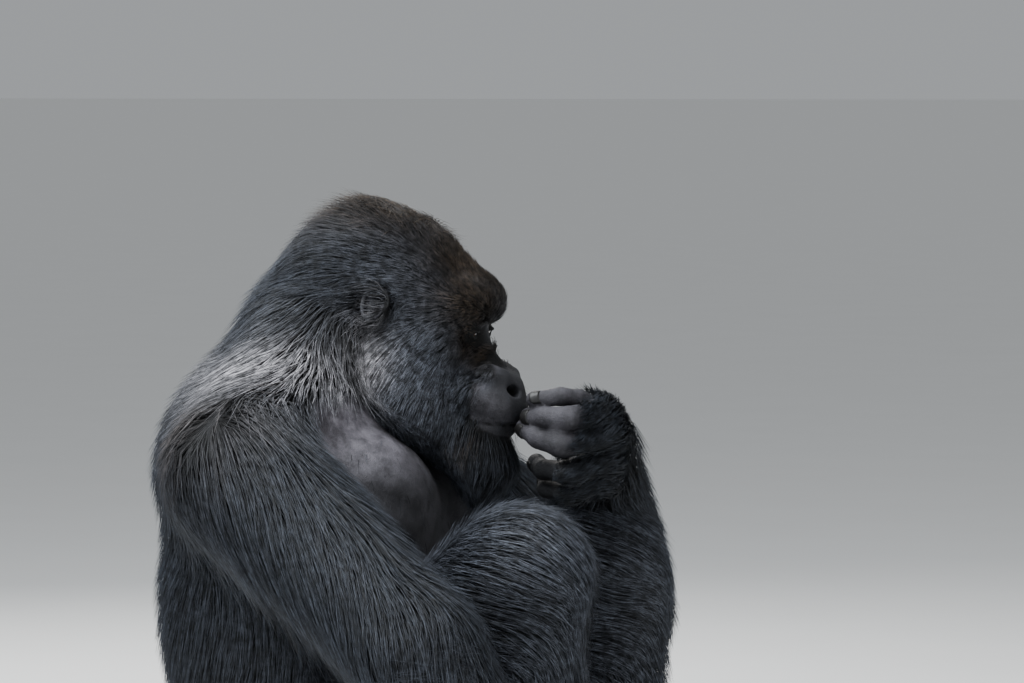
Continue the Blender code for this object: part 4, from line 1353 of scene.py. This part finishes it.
eyeMake = {
    "around": 40, "rings": 28, "bulge": 0.030, "bulgeReach": 0.42, "outward": 0.10, "down": -0.12,
    "iris": ((0.020, 0.008, 0.003), (0.085, 0.034, 0.012)), "irisEdge": (0.47, 0.53),
    "white": ((0.030, 0.018, 0.012), (0.070, 0.045, 0.032)),
    "pupil": (0.002, 0.002, 0.002), "pupilEdge": (0.17, 0.20),
}


def eyeMaterial():
    made, start, connect = newLook("eye", Specular_IOR_Level=0.6, Coat_Weight=1.0, Coat_Roughness=0.02,
                                   Roughness=0.25)
    angle = attribute(start, "angle", 2)
    rays = noise(attribute(start, "round", 1), 9.0, 4.0)
    iris, white = toned(rays, eyeMake["iris"]), toned(rays, eyeMake["white"])
    shade = angle.ramp(*eyeMake["irisEdge"]).mix(iris, white)
    connect("Base Color", angle.ramp(*eyeMake["pupilEdge"]).mix(colour(*eyeMake["pupil"]), shade))
    return made


eyeLook = eyeMaterial()


def buildEye(node):
    centre = middle(node)
    outward = eyeMake["outward"] * (1 if "left" in node else -1)
    gaze = unit(headTurn @ unit((1.0, outward, eyeMake["down"])))
    turn = np.array(Vector(gaze).to_track_quat("Z", "Y").to_matrix())
    across, rings, bulge = eyeMake["around"], eyeMake["rings"], eyeMake["bulge"]
    points, angles, rounds = [], [], []
    for r in range(1, rings):
        polar = math.pi * r / rings
        stretch = 1 + bulge * math.exp(-(polar / eyeMake["bulgeReach"]) ** 4)
        for k in range(across):
            turnBy = 2 * math.pi * k / across
            local = np.array((math.sin(polar) * math.cos(turnBy), math.sin(polar) * math.sin(turnBy),
                              math.cos(polar) * stretch))
            points.append(centre + turn @ local * eyeRadius)
            angles.append(polar)
            rounds.append((math.cos(turnBy) * 2, math.sin(turnBy) * 2, polar))
    faces = []
    for r in range(rings - 2):
        for k in range(across):
            here, after = r * across, (k + 1) % across
            faces.append((here + across + k, here + across + after, here + after, here + k))
    for pole, ring, back in ((1 + bulge, 0, True), (-1.0, rings - 2, False)):
        points.append(centre + turn @ np.array((0, 0, pole)) * eyeRadius)
        angles.append(0 if back else math.pi)
        rounds.append((0, 0, 0))
        tip = len(points) - 1
        for k in range(0, across, 2):
            p, q, o = (ring * across + (k + j) % across for j in (0, 1, 2))
            faces.append((tip, p, q, o) if back else (tip, o, q, p))
    piece = meshObject(node + "ball", points, faces)
    piece.data.attributes.new("angle", "FLOAT", "POINT").data.foreach_set(
        "value", np.array(angles, np.float32))
    piece.data.attributes.new("round", "FLOAT_VECTOR", "POINT").data.foreach_set(
        "vector", np.array(rounds, np.float32).ravel())
    piece.data.materials.append(eyeLook)
    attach(piece, "root")
    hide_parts(node)


buildEye("left_eye")
buildEye("right_eye")


nailMake = {
    "tone": ((0.004, 0.004, 0.004), (0.013, 0.012, 0.012)),
    "grid": 7, "curl": 46, "raise": 0.0004, "thick": 0.0026, "finger": 0.012, "thumb": 0.013,
}


def nailMaterial():
    made, start, connect = newLook("nail", Specular_IOR_Level=0.32)
    grain = noise(start.node("ShaderNodeTexCoord", out=3), 600.0, 4.0)
    connect("Base Color", toned(grain, nailMake["tone"]))
    connect("Roughness", 0.30 + grain * 0.20)
    connect("Normal", bump(grain, 0.3, 0.0004))
    return made


def nailPatch(tip, axis, top, girth, length):
    side = np.cross(axis, top)
    points, n = [], nailMake["grid"]
    sheet = n * n
    for layer in (0, 1):
        for i in range(n):
            for j in range(n):
                v, w = i / (n - 1), 2 * j / (n - 1) - 1
                angle = w * math.radians(nailMake["curl"])
                angle *= 1 - 0.35 * max(0.0, v - 0.75) / 0.25 * abs(w)
                lift = girth * 1.035 + nailMake["raise"] - layer * nailMake["thick"]
                ahead = (v - 0.45) * length - 0.0022 * w * w
                drop = 1 - 0.16 * max(0.0, v - 0.25) ** 2
                off = side * math.sin(angle) + top * math.cos(angle) * drop
                points.append(tip + axis * ahead + off * lift)
    faces = []
    for i in range(n - 1):
        for j in range(n - 1):
            k = i * n + j
            under = k + sheet
            faces += [(k, k + 1, k + n + 1, k + n), (under, under + n, under + 1 + n, under + 1)]
    edge = [i * n for i in range(n)] + [(n - 1) * n + j for j in range(1, n)]
    edge += [i * n + n - 1 for i in range(n - 2, -1, -1)] + list(range(n - 2, 0, -1))
    faces += [(a, b, b + sheet, a + sheet) for a, b in zip(edge, edge[1:] + edge[:1])]
    return points, faces


def buildNails():
    points, faces, digits = [], [], []
    for hand, girths in ((leftHand, leftGirth), (rightHand, rightGirth)):
        for digit, joints in hand.items():
            girth = girths[digit] * (1 - 0.09 * (len(joints) - 1))
            length = nailMake["thumb" if digit == "thumb" else "finger"]
            digits.append((joints, girth, hand is rightHand, length))
    for name in sides:
        for joints, thick in toes[name]:
            digits.append((joints, thick * 0.82, True, thick * 0.75))
    for joints, girth, flat, length in digits:
        joints = [np.array(j, float) for j in joints]
        axis = unit(joints[-1] - joints[-2])
        top = np.array((0, 0, 1.0)) if flat else unit(2 * joints[-2] - joints[-3] - joints[-1])
        top = unit(top - axis * (top @ axis))
        made, shapes = nailPatch(joints[-1] + shift, axis, top, girth, length)
        faces += [tuple(k + len(points) for k in face) for face in shapes]
        points += made
    piece = meshObject("nails", points, faces)
    piece.data.materials.append(nailMaterial())
    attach(piece, "root")


buildNails()
report("eyes and nails")


sight = {"azimuth": 20.0, "elevation": 3.0, "away": 6.5, "lens": 173.7, "target": (0.1568, 0.0, 0.7407)}
lamps = {
    "overhead": {"place": (-0.7, -0.9, 3.0), "size": 2.4, "power": 250, "tint": (0.93, 0.97, 1.0)},
    "side": {"place": (0.2, -4.2, 2.0), "size": 2.0, "power": 60, "tint": (0.92, 0.96, 1.0)},
    "front": {"place": (3.2, -0.6, 1.8), "size": 1.2, "power": 26, "tint": (1.0, 1.0, 0.97)},
    "behind": {"place": (-1.8, 2.6, 2.2), "size": 1.6, "power": 50, "tint": (1.0, 0.98, 0.95)},
}


floorTone = ((0.87, 0.87, 0.86), (0.91, 0.91, 0.90))
air = {"tint": (0.80, 0.83, 0.86, 1), "strength": 0.46}


def buildStage():
    half = 300     # metres of floor each way
    square = [(-half, -half, 0), (half, -half, 0), (half, half, 0), (-half, half, 0)]
    floor = meshObject("floor", square, [(0, 1, 2, 3)])
    made, start, connect = newLook("floor", Roughness=0.85)
    grain = noise(start.node("ShaderNodeTexCoord", out=3), 3.0, 4.0)
    connect("Base Color", toned(grain, floorTone))
    floor.data.materials.append(made)
    world = bpy.data.worlds.new("studio")
    world.use_nodes = True
    sky = world.node_tree.nodes["Background"].inputs
    sky["Color"].default_value, sky["Strength"].default_value = air["tint"], air["strength"]
    bpy.context.scene.world = world
    for name, s in lamps.items():
        light = bpy.data.lights.new(name, "AREA")
        light.size, light.energy, light.color = s["size"], s["power"], s["tint"]
        lamp = bpy.data.objects.new(name, light)
        lamp.location = s["place"]
        lamp.rotation_euler = (Vector(s["place"]) - Vector((0, 0, 0.6))).to_track_quat("Z", "Y").to_euler()
        bpy.context.scene.collection.objects.link(lamp)


def buildCamera():
    a, e = math.radians(sight["azimuth"]), math.radians(sight["elevation"])
    back = Vector((math.sin(a) * math.cos(e), -math.cos(a) * math.cos(e), math.sin(e)))
    camera = bpy.data.objects.new("camera", bpy.data.cameras.new("camera"))
    bpy.context.scene.collection.objects.link(camera)
    camera.data.lens = sight["lens"]
    camera.data.sensor_width = 36
    camera.location = Vector(sight["target"]) + Vector(shift) + back * sight["away"]
    camera.rotation_euler = back.to_track_quat("Z", "Y").to_euler()
    bpy.context.scene.camera = camera


buildStage()
buildCamera()
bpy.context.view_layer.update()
report("done")
